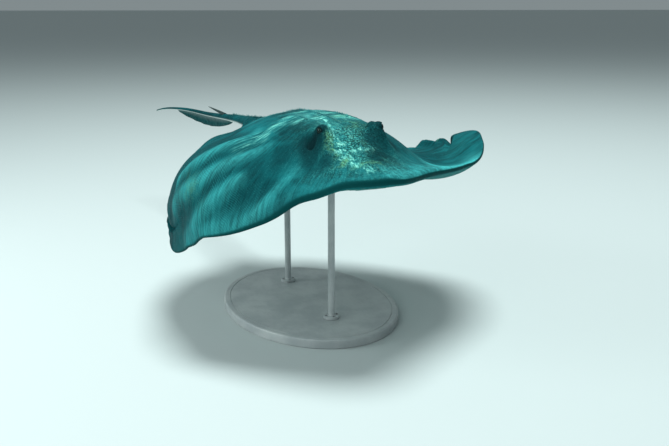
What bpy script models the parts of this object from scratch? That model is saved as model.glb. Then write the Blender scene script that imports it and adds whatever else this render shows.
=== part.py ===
"""Life-size southern stingray in a swimming pose, held over a flat base by two short rods.

The ray faces -Y with its left side toward +X. The disc is worked out flat first, as half
outline, rim and upper and lower height, in fractions of the disc width. Each wing is then
bent by its slope, which keeps its length from body to tip.
"""
import math

import bmesh
import bpy
import numpy as np

# ---- driving sizes, in metres unless a comment says otherwise
DISC_WIDTH = 1.10            # unit of the proportions below; the wings spread flat span 0.975 of it
FLIGHT_HEIGHT = 0.44         # middle plane of the body over the floor
BANK = math.radians(2.4)     # the left side is the higher one
GAP = 0.0003                 # space between touching solids
CENTRE_BACK = 0.45           # place along the ray that stands over the base, in disc widths

# ---- flat half disc, in disc widths: (reach from the midline, distance behind the snout)
OUTLINE = [(0.0, 0.0), (0.035, 0.006), (0.12, 0.060), (0.25, 0.140), (0.37, 0.228),
           (0.449, 0.318), (0.487, 0.41), (0.482, 0.48), (0.436, 0.56), (0.35, 0.665),
           (0.26, 0.755), (0.175, 0.825), (0.125, 0.850), (0.085, 0.848), (0.06, 0.83)]
SPINE_FRONT = 0.10           # the fin rays fan out from this part of the midline
SPINE_REAR = 0.83
RAY_BOW = 0.6                # how much the rearmost fin rays curve back toward the rim
RIM_PLACE = [0.0, 0.12, 0.30, 0.50, 0.70, 0.90, 1.0]           # share of the way round
RIM_RADIUS = [0.011, 0.0095, 0.0045, 0.0030, 0.0024, 0.0022, 0.0026]

# ---- heights over and under the middle plane, in disc widths
# hump rows: (distance behind the snout, height, half width, squareness of its shoulder)
HUMP = [(0.00, 0.000, 0.040, 3.0), (0.03, 0.007, 0.048, 3.0), (0.06, 0.016, 0.058, 3.5),
        (0.10, 0.031, 0.075, 4.0), (0.14, 0.050, 0.092, 5.0), (0.17, 0.063, 0.103, 5.5),
        (0.22, 0.074, 0.130, 4.5), (0.30, 0.083, 0.163, 3.4), (0.40, 0.086, 0.182, 3.0),
        (0.50, 0.081, 0.164, 3.0), (0.60, 0.064, 0.126, 3.0), (0.70, 0.045, 0.100, 3.0),
        (0.78, 0.032, 0.065, 3.0), (0.83, 0.026, 0.045, 3.0)]
BELLY_PLACE = [0.0, 0.03, 0.08, 0.20, 0.50, 0.70, 0.83]
BELLY_DEPTH = [0.0, 0.002, 0.006, 0.012, 0.014, 0.011, 0.008]
BELLY_HALF_WIDTH = 0.16
WING_RISE = 0.015            # muscle over the middle plane, full at WING_RUN from the rim
WING_DROP = 0.006            # and under it
WING_RUN = 0.25
RIM_LIFT_RUN = 0.10          # the rim turns up over this distance

# ---- eyes and the raised mounds that carry them
EYE_PLACE = (0.0660, 0.1815, 0.0960)     # reach, distance behind the snout, height
EYE_RADIUS = 0.0108
MOUND_PLACE = (0.0625, 0.184)
MOUND_HALF_SIZE = (0.0205, 0.030)
MOUND_HEIGHT = 0.0190

# ---- wing slopes in degrees, up is positive
RIGHT_HANG = -72             # slope of the hanging wing past its bend
HANG_START = (-0.20, 0.17)   # reach where the bend starts, at the head and in the middle
HANG_END = 0.39              # reach where it ends
ROOT_REACH = (0.05, 0.18)    # the slopes grow from those of the body between these
LEFT_ROOT = -5               # slope of the body on the left at the snout, gone by ROOT_BACK
ROOT_BACK = 0.60
MIDDLE_BACK = (0.02, 0.28)   # the head's bend gives way to the middle's between these
REAR_BACK = (0.50, 0.90)     # and goes most of the way back between these
REAR_SHARE = 0.5
RIGHT_TIP_EASE = 10          # the outermost part hangs less steeply
RIGHT_RISE = (0.17, 0.36, 0.06, 0.10, 15)    # swell before the bend: place, half sizes, degrees
RIGHT_CURL = (0.40, 0.36, 0.05, 0.20, -12)   # where the wing hangs steepest
LEFT_LIFT = (67, 77)         # slope of the raised wing at the snout, and its loss toward the rear
LIFT_REACH = (0.15, 0.42)    # the wing turns up between these
LEFT_DIP = (33, 20)          # dip between body and raised wing, and its loss toward the rear
DIP_REACH = (0.29, 0.42)     # the dip dies out between these
DIP_BACK = (0.02, 0.36)      # and grows between these distances behind the snout
BODY_REACH = 0.10            # the body inside this reach is lifted but not tipped
BEND_STEPS = 24
# local folds of the rear rim: (distance behind the snout, half length, height)
RIGHT_RUFFLES = [(0.60, 0.018, -0.008), (0.66, 0.024, 0.006)]
LEFT_RUFFLES = [(0.523, 0.013, -0.044), (0.560, 0.022, 0.004), (0.690, 0.055, -0.026)]
RUFFLE_RUN = 0.13            # a fold dies out this far from the rim
# the right leading edge turns down here: reach, distance behind the snout, half sizes, depth
RIGHT_DROOP = (0.125, 0.066, 0.042, 0.045, 0.011)

# ---- tail, in disc widths behind its root, which is the rear end of the spine
TAIL_LENGTH = 1.06
TAIL_ROOT_HEIGHT = 0.020
TAIL_PLACE = [0.0, 0.12, 0.27, 0.51, 0.67, 0.83, 0.97, 1.06]
TAIL_TO_RIGHT = [3, 3, 0, 1, 6, 9, 14, 17]     # heading, degrees toward the right side
TAIL_RISE = [-0.5, -1.5, -4, -3.5, -1, -3, -6, -13]   # degrees
TAIL_SIZE_PLACE = [0.0, 0.02, 0.05, 0.12, 0.27, 0.47, 0.77, 0.97, 1.06]
TAIL_HALF_WIDTH = [0.060, 0.046, 0.033, 0.021, 0.0145, 0.010, 0.0068, 0.0050, 0.0036]
TAIL_HALF_HEIGHT = [0.024, 0.023, 0.021, 0.016, 0.0125, 0.0095, 0.0068, 0.0050, 0.0036]
# lengths that the tail is parted into: (start, end, rings of faces)
TAIL_LENGTHS = {"tail_base": (0.0, 0.30, 14),
                "tail_middle": (0.30, 0.67, 9),
                "tail_end": (0.67, TAIL_LENGTH, 9)}
TAIL_SIDES = 12
FOLD_START = 0.25            # thin keel of skin under the tail
FOLD_LENGTH = 0.62
FOLD_DEPTH = 0.042
FOLD_THICKNESS = 0.0018      # metres
STING_START = 0.335
STING_LENGTH = 0.110
STING_HALF_WIDTH = 0.0060
STING_THICKNESS = 0.7        # over its width
STING_TO_RIGHT = 14          # degrees
STING_RISE = 9

# ---- pelvic fins, one on each side of the tail root
PELVIC_CENTRE = (0.046, 0.850, -0.004)
PELVIC_HALF_SIZE = (0.027, 0.058, 0.0036)

# ---- where the solid ray is parted
WING_CUT = 0.155             # reach from the midline, in disc widths
HEAD_CUT = 0.245             # distance behind the snout, in disc widths

# ---- stand, in metres
BASE_SIZE = (0.46, 0.64)
BASE_THICKNESS = 0.024
BASE_EDGE = 0.004
ROD_RADIUS = 0.009
ROD_PLACES = {"front": 0.30, "rear": 0.61}   # distance behind the snout, in disc widths

# ---- mesh steps
DISC_STEPS = (49, 13)        # faces along half the rim, and from spine to rim
RIM_SHARE = 2 / DISC_STEPS[1]                # part of the second count that rounds the rim
EYE_STEPS = (16, 10)
FOLD_STEPS = (16, 3)
STING_STEPS = (8, 8)
PELVIC_STEPS = (14, 6)
BASE_SEGMENTS = 36
ROD_SEGMENTS = 16


def curve(stations, values, place):
    """Smooth curve through the values at the stations."""
    stations = np.asarray(stations, float)
    values = np.asarray(values, float)
    tangents = np.gradient(values, stations, axis=0)
    place = np.clip(place, stations[0], stations[-1])
    i = np.clip(np.searchsorted(stations, place, side="right") - 1, 0, len(stations) - 2)
    step = stations[i + 1] - stations[i]
    t = (place - stations[i]) / step
    if values.ndim > 1:
        step = step[..., None]
        t = t[..., None]
    rise = (1 + 2 * t) * (1 - t) ** 2 * values[i] + t * t * (3 - 2 * t) * values[i + 1]
    return rise + step * t * (1 - t) * ((1 - t) * tangents[i] - t * tangents[i + 1])


def ease(x):
    """Smooth step from 0 to 1."""
    x = np.clip(x, 0, 1)
    return x * x * (3 - 2 * x)


def bump(*offsets):
    """Round bump of height one, from offsets already divided by its half sizes."""
    return np.exp(-sum(offset ** 2 for offset in offsets))


def swelling(reach, back, row):
    """Height of one round bump, given as place, half sizes and height."""
    return row[4] * bump((reach - row[0]) / row[2], (back - row[1]) / row[3])


def from_root(reach):
    """Share of a wing's own slope, none at the body."""
    return ease((reach - ROOT_REACH[0]) / (ROOT_REACH[1] - ROOT_REACH[0]))


def right_slope(reach, back):
    """Slope of the hanging wing in radians: level at the body, steep past its bend."""
    middle = ease((back - MIDDLE_BACK[0]) / (MIDDLE_BACK[1] - MIDDLE_BACK[0]))
    rear = REAR_SHARE * ease((back - REAR_BACK[0]) / (REAR_BACK[1] - REAR_BACK[0]))
    start = HANG_START[0] + (HANG_START[1] - HANG_START[0]) * middle * (1 - rear)
    degrees = RIGHT_HANG * ease((reach - start) / (HANG_END - start)) * from_root(reach)
    degrees = degrees + RIGHT_TIP_EASE * ease((reach - 0.42) / 0.08)
    degrees = degrees + swelling(reach, back, RIGHT_RISE) + swelling(reach, back, RIGHT_CURL)
    return np.radians(degrees)


def left_slope(reach, back):
    """Slope of the raised wing in radians: a dip beside the body, then up to the tip."""
    lift = LEFT_LIFT[0] - LEFT_LIFT[1] * back
    degrees = lift * ease((reach - LIFT_REACH[0]) / (LIFT_REACH[1] - LIFT_REACH[0]))
    degrees = degrees + LEFT_ROOT * (1 - from_root(reach)) * ease(1 - back / ROOT_BACK)
    dip = from_root(reach) * ease((DIP_REACH[1] - reach) / (DIP_REACH[1] - DIP_REACH[0]))
    dip = dip * ease((back - DIP_BACK[0]) / (DIP_BACK[1] - DIP_BACK[0]))
    return np.radians(degrees - (LEFT_DIP[0] - LEFT_DIP[1] * back) * dip)


def bend(reach, back, height, side):
    """Swing a point of the flat half disc into the pose of its wing."""
    slope = left_slope if side > 0 else right_slope
    out = np.zeros_like(reach)
    up = np.zeros_like(reach)
    for k in range(BEND_STEPS):
        angle = slope(reach * (k + 0.5) / BEND_STEPS, back)
        out += reach / BEND_STEPS * np.cos(angle)
        up += reach / BEND_STEPS * np.sin(angle)
    angle = slope(reach, back) * ease((reach - BODY_REACH) / BODY_REACH)
    return side * (out - np.sin(angle) * height), back, up + np.cos(angle) * height


def place(across, back, up):
    """From disc widths on the ray to metres over the floor, with the bank applied."""
    x = DISC_WIDTH * across
    y = DISC_WIDTH * (back - CENTRE_BACK)
    z = DISC_WIDTH * up
    tilted_x = x * math.cos(BANK) - z * math.sin(BANK)
    tilted_z = x * math.sin(BANK) + z * math.cos(BANK)
    return np.stack([tilted_x, y, tilted_z + FLIGHT_HEIGHT], -1)


def upper_height(reach, back, from_rim):
    """Body hump, wing muscle and eye mound over the middle plane."""
    stations, heights, half_widths, squareness = np.transpose(HUMP)
    half_width = curve(stations, half_widths, back)
    power = curve(stations, squareness, back)
    hump = curve(stations, heights, back) / (1 + (reach / half_width) ** power)
    muscle = WING_RISE * (1 - (1 - np.minimum(from_rim / WING_RUN, 1)) ** 2)
    off_mound = ((reach - MOUND_PLACE[0]) / MOUND_HALF_SIZE[0]) ** 2
    off_mound += ((back - MOUND_PLACE[1]) / MOUND_HALF_SIZE[1]) ** 2
    mound = MOUND_HEIGHT * np.exp(-off_mound ** 2)
    return hump * ease(from_rim / 0.04) + muscle + mound


def lower_height(reach, back, from_rim):
    """Belly and wing muscle under the middle plane."""
    belly = curve(BELLY_PLACE, BELLY_DEPTH, back) / (1 + (reach / BELLY_HALF_WIDTH) ** 4)
    muscle = WING_DROP * (1 - (1 - np.minimum(from_rim / WING_RUN, 1)) ** 2)
    return belly * ease(from_rim / 0.04) + muscle


def ruffle(back, from_rim, side):
    """Height of the folds in the rear rim of a wing."""
    height = np.zeros_like(back)
    for centre, half_length, rise in LEFT_RUFFLES if side > 0 else RIGHT_RUFFLES:
        height += rise * np.exp(-((back - centre) / half_length) ** 2)
    return height * ease(1 - from_rim / RUFFLE_RUN)


def droop(reach, back, side):
    """Depth by which the leading edge beside the snout turns down on the right."""
    middle_reach, middle_back, half_reach, half_back, depth = RIGHT_DROOP
    off = ((reach - middle_reach) / half_reach) ** 2 + ((back - middle_back) / half_back) ** 2
    return depth * np.exp(-off) * (side < 0)


def disc_surface(round_share, out_share, side, upper):
    """Point of the disc: round_share runs along the rim, out_share from the spine to the rim."""
    corners = np.asarray(OUTLINE)
    lengths = np.hypot(*np.diff(corners, axis=0).T)
    stations = np.concatenate([[0], np.cumsum(lengths)]) / lengths.sum()
    rim_point = curve(stations, corners, round_share)
    spine_back = SPINE_FRONT + (SPINE_REAR - SPINE_FRONT) * round_share
    run = np.hypot(rim_point[..., 0], rim_point[..., 1] - spine_back)
    radius = curve(RIM_PLACE, RIM_RADIUS, round_share)
    inner = 1 - RIM_SHARE
    turn = np.clip((out_share - inner) / RIM_SHARE, 0, 1) * math.pi / 2
    flat_part = run - (run - radius) * np.minimum(out_share / inner, 1)
    from_rim = np.where(out_share < inner, flat_part, radius * (1 - np.sin(turn)))
    share = 1 - from_rim / run
    reach = rim_point[..., 0] * share
    bow = 1 + RAY_BOW * ease((round_share - 0.5) / 0.4)
    back = spine_back + (rim_point[..., 1] - spine_back) * share ** bow
    lift = radius * (1 - ease(from_rim / RIM_LIFT_RUN)) + ruffle(back, from_rim, side)
    lift -= droop(reach, back, side)
    if upper:
        height = lift + radius * np.cos(turn) + upper_height(reach, back, from_rim)
    else:
        height = lift - radius * np.cos(turn) - lower_height(reach, back, from_rim)
    return place(*bend(reach, back, height, side))


def tail_line(along):
    """Middle line of the tail and the two directions across it, at each distance along."""
    fine = np.linspace(0, TAIL_LENGTH, 400)
    side = -np.radians(curve(TAIL_PLACE, TAIL_TO_RIGHT, fine))
    rise = np.radians(curve(TAIL_PLACE, TAIL_RISE, fine))
    ahead = np.stack([np.sin(side) * np.cos(rise), np.cos(side) * np.cos(rise), np.sin(rise)], -1)
    step = fine[1]
    path = np.concatenate([np.zeros((1, 3)), np.cumsum((ahead[1:] + ahead[:-1]) / 2 * step, axis=0)])
    path += np.array([0, SPINE_REAR, TAIL_ROOT_HEIGHT])
    centre = np.stack([np.interp(along, fine, path[:, k]) for k in range(3)], -1)
    heading = np.interp(along, fine, side)
    across = np.stack([np.cos(heading), -np.sin(heading), np.zeros_like(heading)], -1)
    return centre, across


def mapped_grid(steps, mapping):
    """Grid primitive whose points are moved by mapping(u, v), with u and v from 0 to 1."""
    mesh = bmesh.new()
    bmesh.ops.create_grid(mesh, x_segments=steps[0], y_segments=steps[1], size=0.5)
    flat = np.array([vert.co[:2] for vert in mesh.verts]) + 0.5
    for vert, point in zip(mesh.verts, mapping(flat[:, 0], flat[:, 1])):
        vert.co = point
    return mesh


def joined(pieces):
    """One closed mesh from pieces whose open edges meet or are left to be capped."""
    whole = bmesh.new()
    for piece in pieces:
        carrier = bpy.data.meshes.new("piece")
        piece.to_mesh(carrier)
        piece.free()
        whole.from_mesh(carrier)
        bpy.data.meshes.remove(carrier)
    bmesh.ops.remove_doubles(whole, verts=whole.verts, dist=0.00005)
    bmesh.ops.dissolve_degenerate(whole, edges=whole.edges, dist=0.00005)
    rims = [edge for edge in whole.edges if edge.is_boundary]
    bmesh.ops.holes_fill(whole, edges=rims, sides=0)
    bmesh.ops.triangulate(whole, faces=whole.faces)
    bmesh.ops.recalc_face_normals(whole, faces=whole.faces)
    return whole


def material(name, colour, roughness, metallic=0.0):
    """Plain Principled finish, made once for each name."""
    finish = bpy.data.materials.get(name)
    if finish is None:
        finish = bpy.data.materials.new(name)
        finish.use_nodes = True
        shader = finish.node_tree.nodes["Principled BSDF"]
        shader.inputs["Base Color"].default_value = (*colour, 1)
        shader.inputs["Roughness"].default_value = roughness
        shader.inputs["Metallic"].default_value = metallic
    return finish


def skin():
    return material("ray skin", (0.085, 0.130, 0.150), 0.5)


def eye_glass():
    return material("eye", (0.015, 0.014, 0.012), 0.12)


def sting_bone():
    return material("sting", (0.23, 0.20, 0.16), 0.45)


def stand_paint():
    return material("stand", (0.62, 0.62, 0.60), 0.4)


def new_object(name, mesh, collection, finish=None):
    """Object from a bmesh, smooth shaded."""
    data = bpy.data.meshes.new(name)
    mesh.to_mesh(data)
    mesh.free()
    obj = bpy.data.objects.new(name, data)
    collection.objects.link(obj)
    if finish:
        data.materials.append(finish)
        data.shade_smooth()
    return obj


def cutter(name, mesh, grow=0.0):
    """Hidden shape that a Boolean cuts with, grown outwards where a gap is wanted."""
    obj = new_object(name, mesh, cutters)
    obj.hide_render = True
    obj.display_type = "WIRE"
    if grow:
        swell = obj.modifiers.new("gap", "DISPLACE")
        swell.strength = grow
        swell.mid_level = 0
    return obj


def cut(obj, tool, operation="DIFFERENCE"):
    boolean = obj.modifiers.new(tool.name, "BOOLEAN")
    boolean.operation = operation
    boolean.solver = "EXACT"
    boolean.object = tool


def region(name, low, high):
    """Box cutter from corner to corner."""
    box = bmesh.new()
    bmesh.ops.create_cube(box, size=1)
    for vert in box.verts:
        vert.co = [low[k] + (high[k] - low[k]) * (vert.co[k] + 0.5) for k in range(3)]
    return cutter(name, box)


def disc_mesh():
    """Whole disc with the head, closed behind by a flat face where the tail begins."""
    quarters = []
    for side in (1, -1):
        for upper in (True, False):
            def quarter(u, v, side=side, upper=upper):
                return disc_surface(u * (0.75 + 0.25 * u), v, side, upper)
            quarters.append(mapped_grid(DISC_STEPS, quarter))
    return joined(quarters)


def eye_centre(side):
    reach, back, height = (np.array([value]) for value in EYE_PLACE)
    return place(*bend(reach, back, height, side))[0]


def ball(centre, radius):
    mesh = bmesh.new()
    around, down = EYE_STEPS
    bmesh.ops.create_uvsphere(mesh, u_segments=around, v_segments=down, radius=radius)
    bmesh.ops.translate(mesh, verts=mesh.verts, vec=centre)
    return mesh


def build_disc(collection):
    """Head, trunk and the two wings: one disc parted by thin cuts."""
    side_cut = WING_CUT * DISC_WIDTH
    head_cut = (HEAD_CUT - CENTRE_BACK) * DISC_WIDTH
    far = 1.5
    half = GAP / 2
    regions = {
        "head": ((-side_cut + half, -far, -far), (side_cut - half, head_cut - half, far)),
        "trunk": ((-side_cut + half, head_cut + half, -far), (side_cut - half, far, far)),
        "pectoral_fin_right": ((-far, -far, -far), (-side_cut - half, far, far)),
        "pectoral_fin_left": ((side_cut + half, -far, -far), (far, far, far)),
    }
    nodes = {}
    for name, (low, high) in regions.items():
        nodes[name] = new_object(name, disc_mesh(), collection, skin())
        cut(nodes[name], region(f"{name} region", low, high), "INTERSECT")
    return nodes


def build_eyes(collection, head):
    """Two eyeballs in sockets cut from the head."""
    for side, name in ((-1, "eye_right"), (1, "eye_left")):
        centre = eye_centre(side)
        radius = EYE_RADIUS * DISC_WIDTH
        new_object(name, ball(centre, radius), collection, eye_glass())
        cut(head, cutter(f"{name} socket", ball(centre, radius + GAP)))


def tail_length_mesh(name):
    """One of the lengths that the tail is parted into, a gap behind the one before."""
    start, end, rings = TAIL_LENGTHS[name]
    start += GAP / DISC_WIDTH

    def tube(u, v):
        along = start + (end - start) * u
        centre, across = tail_line(along)
        angle = 2 * math.pi * v
        lens = 1 + 0.6 * (1 - ease(along / 0.10))
        width = curve(TAIL_SIZE_PLACE, TAIL_HALF_WIDTH, along) * np.cos(angle)
        rise = np.sign(np.sin(angle)) * np.abs(np.sin(angle)) ** lens
        point = centre + across * width[:, None]
        point[:, 2] += curve(TAIL_SIZE_PLACE, TAIL_HALF_HEIGHT, along) * rise
        return place(*point.T)
    return joined([mapped_grid((rings, TAIL_SIDES), tube)])


def build_tail(collection):
    """Tail in three lengths, the first kept clear of the disc beside it."""
    for name in TAIL_LENGTHS:
        new_object(name, tail_length_mesh(name), collection, skin())
    cut(collection.objects["tail_base"], cutter("disc before tail", disc_mesh(), GAP))


def cut_by_tail(obj, *lengths):
    """Keep an object a gap clear of some lengths of the tail."""
    for name in lengths:
        cut(obj, cutter(f"{name} at {obj.name}", tail_length_mesh(name), GAP))


def build_fold(collection):
    """Thin keel of skin under the tail, deepest before its middle."""
    def blade(u, v):
        along = FOLD_START + FOLD_LENGTH * u
        centre, across = tail_line(along)
        depth = FOLD_DEPTH * np.sin(math.pi * u ** 1.05) ** 0.6 + 0.0008
        tail_bottom = curve(TAIL_SIZE_PLACE, TAIL_HALF_HEIGHT, along)
        centre[:, 2] -= tail_bottom * 0.6 + v * (depth + tail_bottom * 0.4)
        return place(*centre.T)
    sheet = mapped_grid(FOLD_STEPS, blade)
    bmesh.ops.recalc_face_normals(sheet, faces=sheet.faces)
    bmesh.ops.solidify(sheet, geom=sheet.faces, thickness=FOLD_THICKNESS)
    bmesh.ops.recalc_face_normals(sheet, faces=sheet.faces)
    fold = new_object("tail_fold", sheet, collection, skin())
    cut_by_tail(fold, "tail_base", "tail_middle", "tail_end")


def build_sting(collection):
    """Flat tapered spine that lifts off the top of the tail."""
    root, across = tail_line(np.array([STING_START]))
    root = root[0]
    root[2] += curve(TAIL_SIZE_PLACE, TAIL_HALF_HEIGHT, STING_START) * 0.8
    side = -math.radians(STING_TO_RIGHT)
    rise = math.radians(STING_RISE)
    ahead = np.array([math.sin(side) * math.cos(rise), math.cos(side) * math.cos(rise), math.sin(rise)])

    def spine(u, v):
        angle = 2 * math.pi * v
        half_width = STING_HALF_WIDTH * (1 - 0.85 * u ** 1.6)
        point = root + ahead * STING_LENGTH * u[:, None]
        point = point + across[0] * (half_width * np.cos(angle))[:, None]
        point[:, 2] += half_width * STING_THICKNESS * np.sin(angle)
        return place(*point.T)
    mesh = joined([mapped_grid(STING_STEPS, spine)])
    sting = new_object("sting", mesh, collection, sting_bone())
    cut_by_tail(sting, "tail_base", "tail_middle")


def build_pelvic_fins(collection):
    """Two rounded lobes that come out from under the disc beside the tail."""
    for side, name in ((-1, "pelvic_fin_right"), (1, "pelvic_fin_left")):
        lobe = bmesh.new()
        around, down = PELVIC_STEPS
        bmesh.ops.create_uvsphere(lobe, u_segments=around, v_segments=down, radius=1)
        points = np.array([vert.co for vert in lobe.verts])
        reach = PELVIC_CENTRE[0] + PELVIC_HALF_SIZE[0] * points[:, 0] * (1 + 0.25 * points[:, 1])
        back = PELVIC_CENTRE[1] + PELVIC_HALF_SIZE[1] * points[:, 1]
        up = PELVIC_CENTRE[2] + PELVIC_HALF_SIZE[2] * points[:, 2] - 0.006 * points[:, 1]
        for vert, point in zip(lobe.verts, place(side * reach, back, up)):
            vert.co = point
        bmesh.ops.recalc_face_normals(lobe, faces=lobe.faces)
        fin = new_object(name, lobe, collection, skin())
        cut(fin, cutter(f"disc over {name}", disc_mesh(), GAP))
        cut_by_tail(fin, "tail_base")


def build_stand(collection):
    """Oval base plate and two round rods that end under the belly."""
    plate = bmesh.new()
    bmesh.ops.create_cone(plate, cap_ends=True, segments=BASE_SEGMENTS,
                          radius1=0.5, radius2=0.5, depth=1)
    for vert in plate.verts:
        vert.co.x *= BASE_SIZE[0]
        vert.co.y *= BASE_SIZE[1]
        vert.co.z = BASE_THICKNESS * (vert.co.z + 0.5)
    base = new_object("stand_base", plate, collection, stand_paint())
    edge = base.modifiers.new("edge", "BEVEL")
    edge.width = BASE_EDGE
    edge.segments = 1
    edge.limit_method = "ANGLE"
    for name, back in ROD_PLACES.items():
        rod = bmesh.new()
        height = FLIGHT_HEIGHT - BASE_THICKNESS - GAP
        bmesh.ops.create_cone(rod, cap_ends=True, segments=ROD_SEGMENTS,
                              radius1=ROD_RADIUS, radius2=ROD_RADIUS, depth=height)
        centre = (0, (back - CENTRE_BACK) * DISC_WIDTH, BASE_THICKNESS + GAP + height / 2)
        bmesh.ops.translate(rod, verts=rod.verts, vec=centre)
        rod = new_object(f"stand_rod_{name}", rod, collection, stand_paint())
        cut(rod, cutter(f"belly over {name} rod", disc_mesh(), GAP))
    for obj in collection.objects:
        if obj.name.startswith("stand_"):
            obj.data.set_sharp_from_angle(angle=math.radians(35))


for old in list(bpy.data.objects):
    bpy.data.objects.remove(old, do_unlink=True)
ray = bpy.data.collections.new("southern stingray")
cutters = bpy.data.collections.new("cutters")
bpy.context.scene.collection.children.link(ray)
bpy.context.scene.collection.children.link(cutters)

disc_nodes = build_disc(ray)
build_eyes(ray, disc_nodes["head"])
build_tail(ray)
build_fold(ray)
build_sting(ray)
build_pelvic_fins(ray)
build_stand(ray)
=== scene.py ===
"""Southern stingray, life size, as a painted museum model held over its base by two rods.

The ray faces -Y and its left side is toward +X. Sections follow the animal: its skin, the thorns
and prickles that stand in it, the eyes and the tail spine, then the stand and the room.
"""
import math

import bmesh
import bpy
import numpy as np
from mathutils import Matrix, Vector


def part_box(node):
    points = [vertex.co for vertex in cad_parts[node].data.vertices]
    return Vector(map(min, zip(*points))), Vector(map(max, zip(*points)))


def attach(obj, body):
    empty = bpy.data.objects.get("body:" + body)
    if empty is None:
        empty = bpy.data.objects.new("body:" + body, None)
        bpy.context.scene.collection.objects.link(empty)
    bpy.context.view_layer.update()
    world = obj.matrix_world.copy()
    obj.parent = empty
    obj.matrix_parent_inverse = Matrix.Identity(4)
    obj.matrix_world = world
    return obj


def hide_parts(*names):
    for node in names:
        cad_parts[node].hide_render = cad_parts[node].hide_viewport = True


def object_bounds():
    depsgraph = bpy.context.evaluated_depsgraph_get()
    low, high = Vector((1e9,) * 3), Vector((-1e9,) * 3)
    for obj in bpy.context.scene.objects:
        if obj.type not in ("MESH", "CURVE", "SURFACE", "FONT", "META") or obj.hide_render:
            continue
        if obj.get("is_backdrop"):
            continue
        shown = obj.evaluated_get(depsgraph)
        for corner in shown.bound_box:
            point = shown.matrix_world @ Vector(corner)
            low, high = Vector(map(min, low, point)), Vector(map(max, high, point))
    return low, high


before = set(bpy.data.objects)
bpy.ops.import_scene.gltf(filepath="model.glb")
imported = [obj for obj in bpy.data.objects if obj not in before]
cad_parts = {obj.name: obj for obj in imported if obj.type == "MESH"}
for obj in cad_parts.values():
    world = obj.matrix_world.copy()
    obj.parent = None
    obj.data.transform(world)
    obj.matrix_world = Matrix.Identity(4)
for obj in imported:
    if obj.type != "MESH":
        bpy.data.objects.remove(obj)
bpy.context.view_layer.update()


# ---- Skin: plan of the disc -----------------------------------------------------------------
# A tough hide over cartilage and swimming muscle, in one piece from snout to tail tip. Here it is
# cast in painted resin. The disc is first laid out flat, along fin rays that fan out from the
# spine to the rim. Sizes are in disc widths: one is a metre and ten centimetres.
DISC_WIDTH = 1.10
OUTLINE = [(0.0, 0.0), (0.035, 0.006), (0.12, 0.060), (0.25, 0.140), (0.37, 0.228),
           (0.449, 0.318), (0.487, 0.41), (0.482, 0.48), (0.436, 0.56), (0.35, 0.665),
           (0.26, 0.755), (0.175, 0.825), (0.125, 0.850), (0.085, 0.848), (0.06, 0.83)]
SPINE_FRONT = 0.10
SPINE_REAR = 0.83
RAY_BOW = 0.6                # backward bend of the rear fin rays
RAY_BOW_PLACE = (0.5, 0.9)   # shares of the way round between which it grows
RIM_PLACE = [0.0, 0.12, 0.30, 0.50, 0.70, 0.90, 1.0]
RIM_RADIUS = [0.011, 0.0095, 0.0045, 0.0030, 0.0024, 0.0022, 0.0026]
RIM_SHARE = 6 / 66           # part of each fin ray that goes round the rim


def curve(stations, values, place):
    """Smooth curve through the values at the stations."""
    stations = np.asarray(stations, float)
    values = np.asarray(values, float)
    tangents = np.gradient(values, stations, axis=0)
    place = np.clip(place, stations[0], stations[-1])
    i = np.clip(np.searchsorted(stations, place, side="right") - 1, 0, len(stations) - 2)
    step = stations[i + 1] - stations[i]
    t = (place - stations[i]) / step
    if values.ndim > 1:
        step = step[..., None]
        t = t[..., None]
    rise = (1 + 2 * t) * (1 - t) ** 2 * values[i] + t * t * (3 - 2 * t) * values[i + 1]
    return rise + step * t * (1 - t) * ((1 - t) * tangents[i] - t * tangents[i + 1])


def ramp(x, start, end):
    """Smooth step from 0 at the start to 1 at the end, which may be the lower of the two."""
    share = np.clip((x - start) / (end - start), 0, 1)
    return share * share * (3 - 2 * share)


def bump(*offsets):
    """Round bump of height one, from offsets already divided by its half sizes."""
    return np.exp(-sum(offset ** 2 for offset in offsets))


def flat_place(round_share, out_share):
    """Flat place of skin points: reach, back, distance from the rim, rim radius, turn, run."""
    corners = np.asarray(OUTLINE)
    lengths = np.hypot(*np.diff(corners, axis=0).T)
    stations = np.concatenate([[0], np.cumsum(lengths)]) / lengths.sum()
    rim_point = curve(stations, corners, round_share)
    spine_back = SPINE_FRONT + (SPINE_REAR - SPINE_FRONT) * round_share
    run = np.hypot(rim_point[..., 0], rim_point[..., 1] - spine_back)
    radius = curve(RIM_PLACE, RIM_RADIUS, round_share)
    inner = 1 - RIM_SHARE
    turn = np.clip((out_share - inner) / RIM_SHARE, 0, 1) * math.pi / 2
    flat_part = run - (run - radius) * np.minimum(out_share / inner, 1)
    from_rim = np.where(out_share < inner, flat_part, radius * (1 - np.sin(turn)))
    share = 1 - from_rim / run
    bow = 1 + RAY_BOW * ramp(round_share, *RAY_BOW_PLACE)
    back = spine_back + (rim_point[..., 1] - spine_back) * share ** bow
    return rim_point[..., 0] * share, back, from_rim, radius, turn, run


# ---- Skin: back, head and belly -------------------------------------------------------------
# The forms that stand on the flat disc: the body's hump, the wing muscle, the turrets that carry
# the eyes, and the openings of the head, each as a height over the disc's middle plane.
# hump rows: (distance behind the snout, height, half width, squareness of its shoulder)
HUMP = [(0.00, 0.000, 0.040, 3.0), (0.03, 0.007, 0.048, 3.0), (0.06, 0.016, 0.058, 3.5),
        (0.10, 0.031, 0.075, 4.0), (0.14, 0.050, 0.092, 5.0), (0.17, 0.063, 0.103, 5.5),
        (0.22, 0.074, 0.130, 4.5), (0.30, 0.083, 0.163, 3.4), (0.40, 0.086, 0.182, 3.0),
        (0.50, 0.081, 0.164, 3.0), (0.60, 0.064, 0.126, 3.0), (0.70, 0.045, 0.100, 3.0),
        (0.78, 0.032, 0.065, 3.0), (0.83, 0.026, 0.045, 3.0)]
WING_RISE = 0.015
WING_DROP = 0.006
WING_RUN = 0.25
BODY_EDGE_RUN = 0.04         # from the rim in, where hump and belly begin
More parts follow.
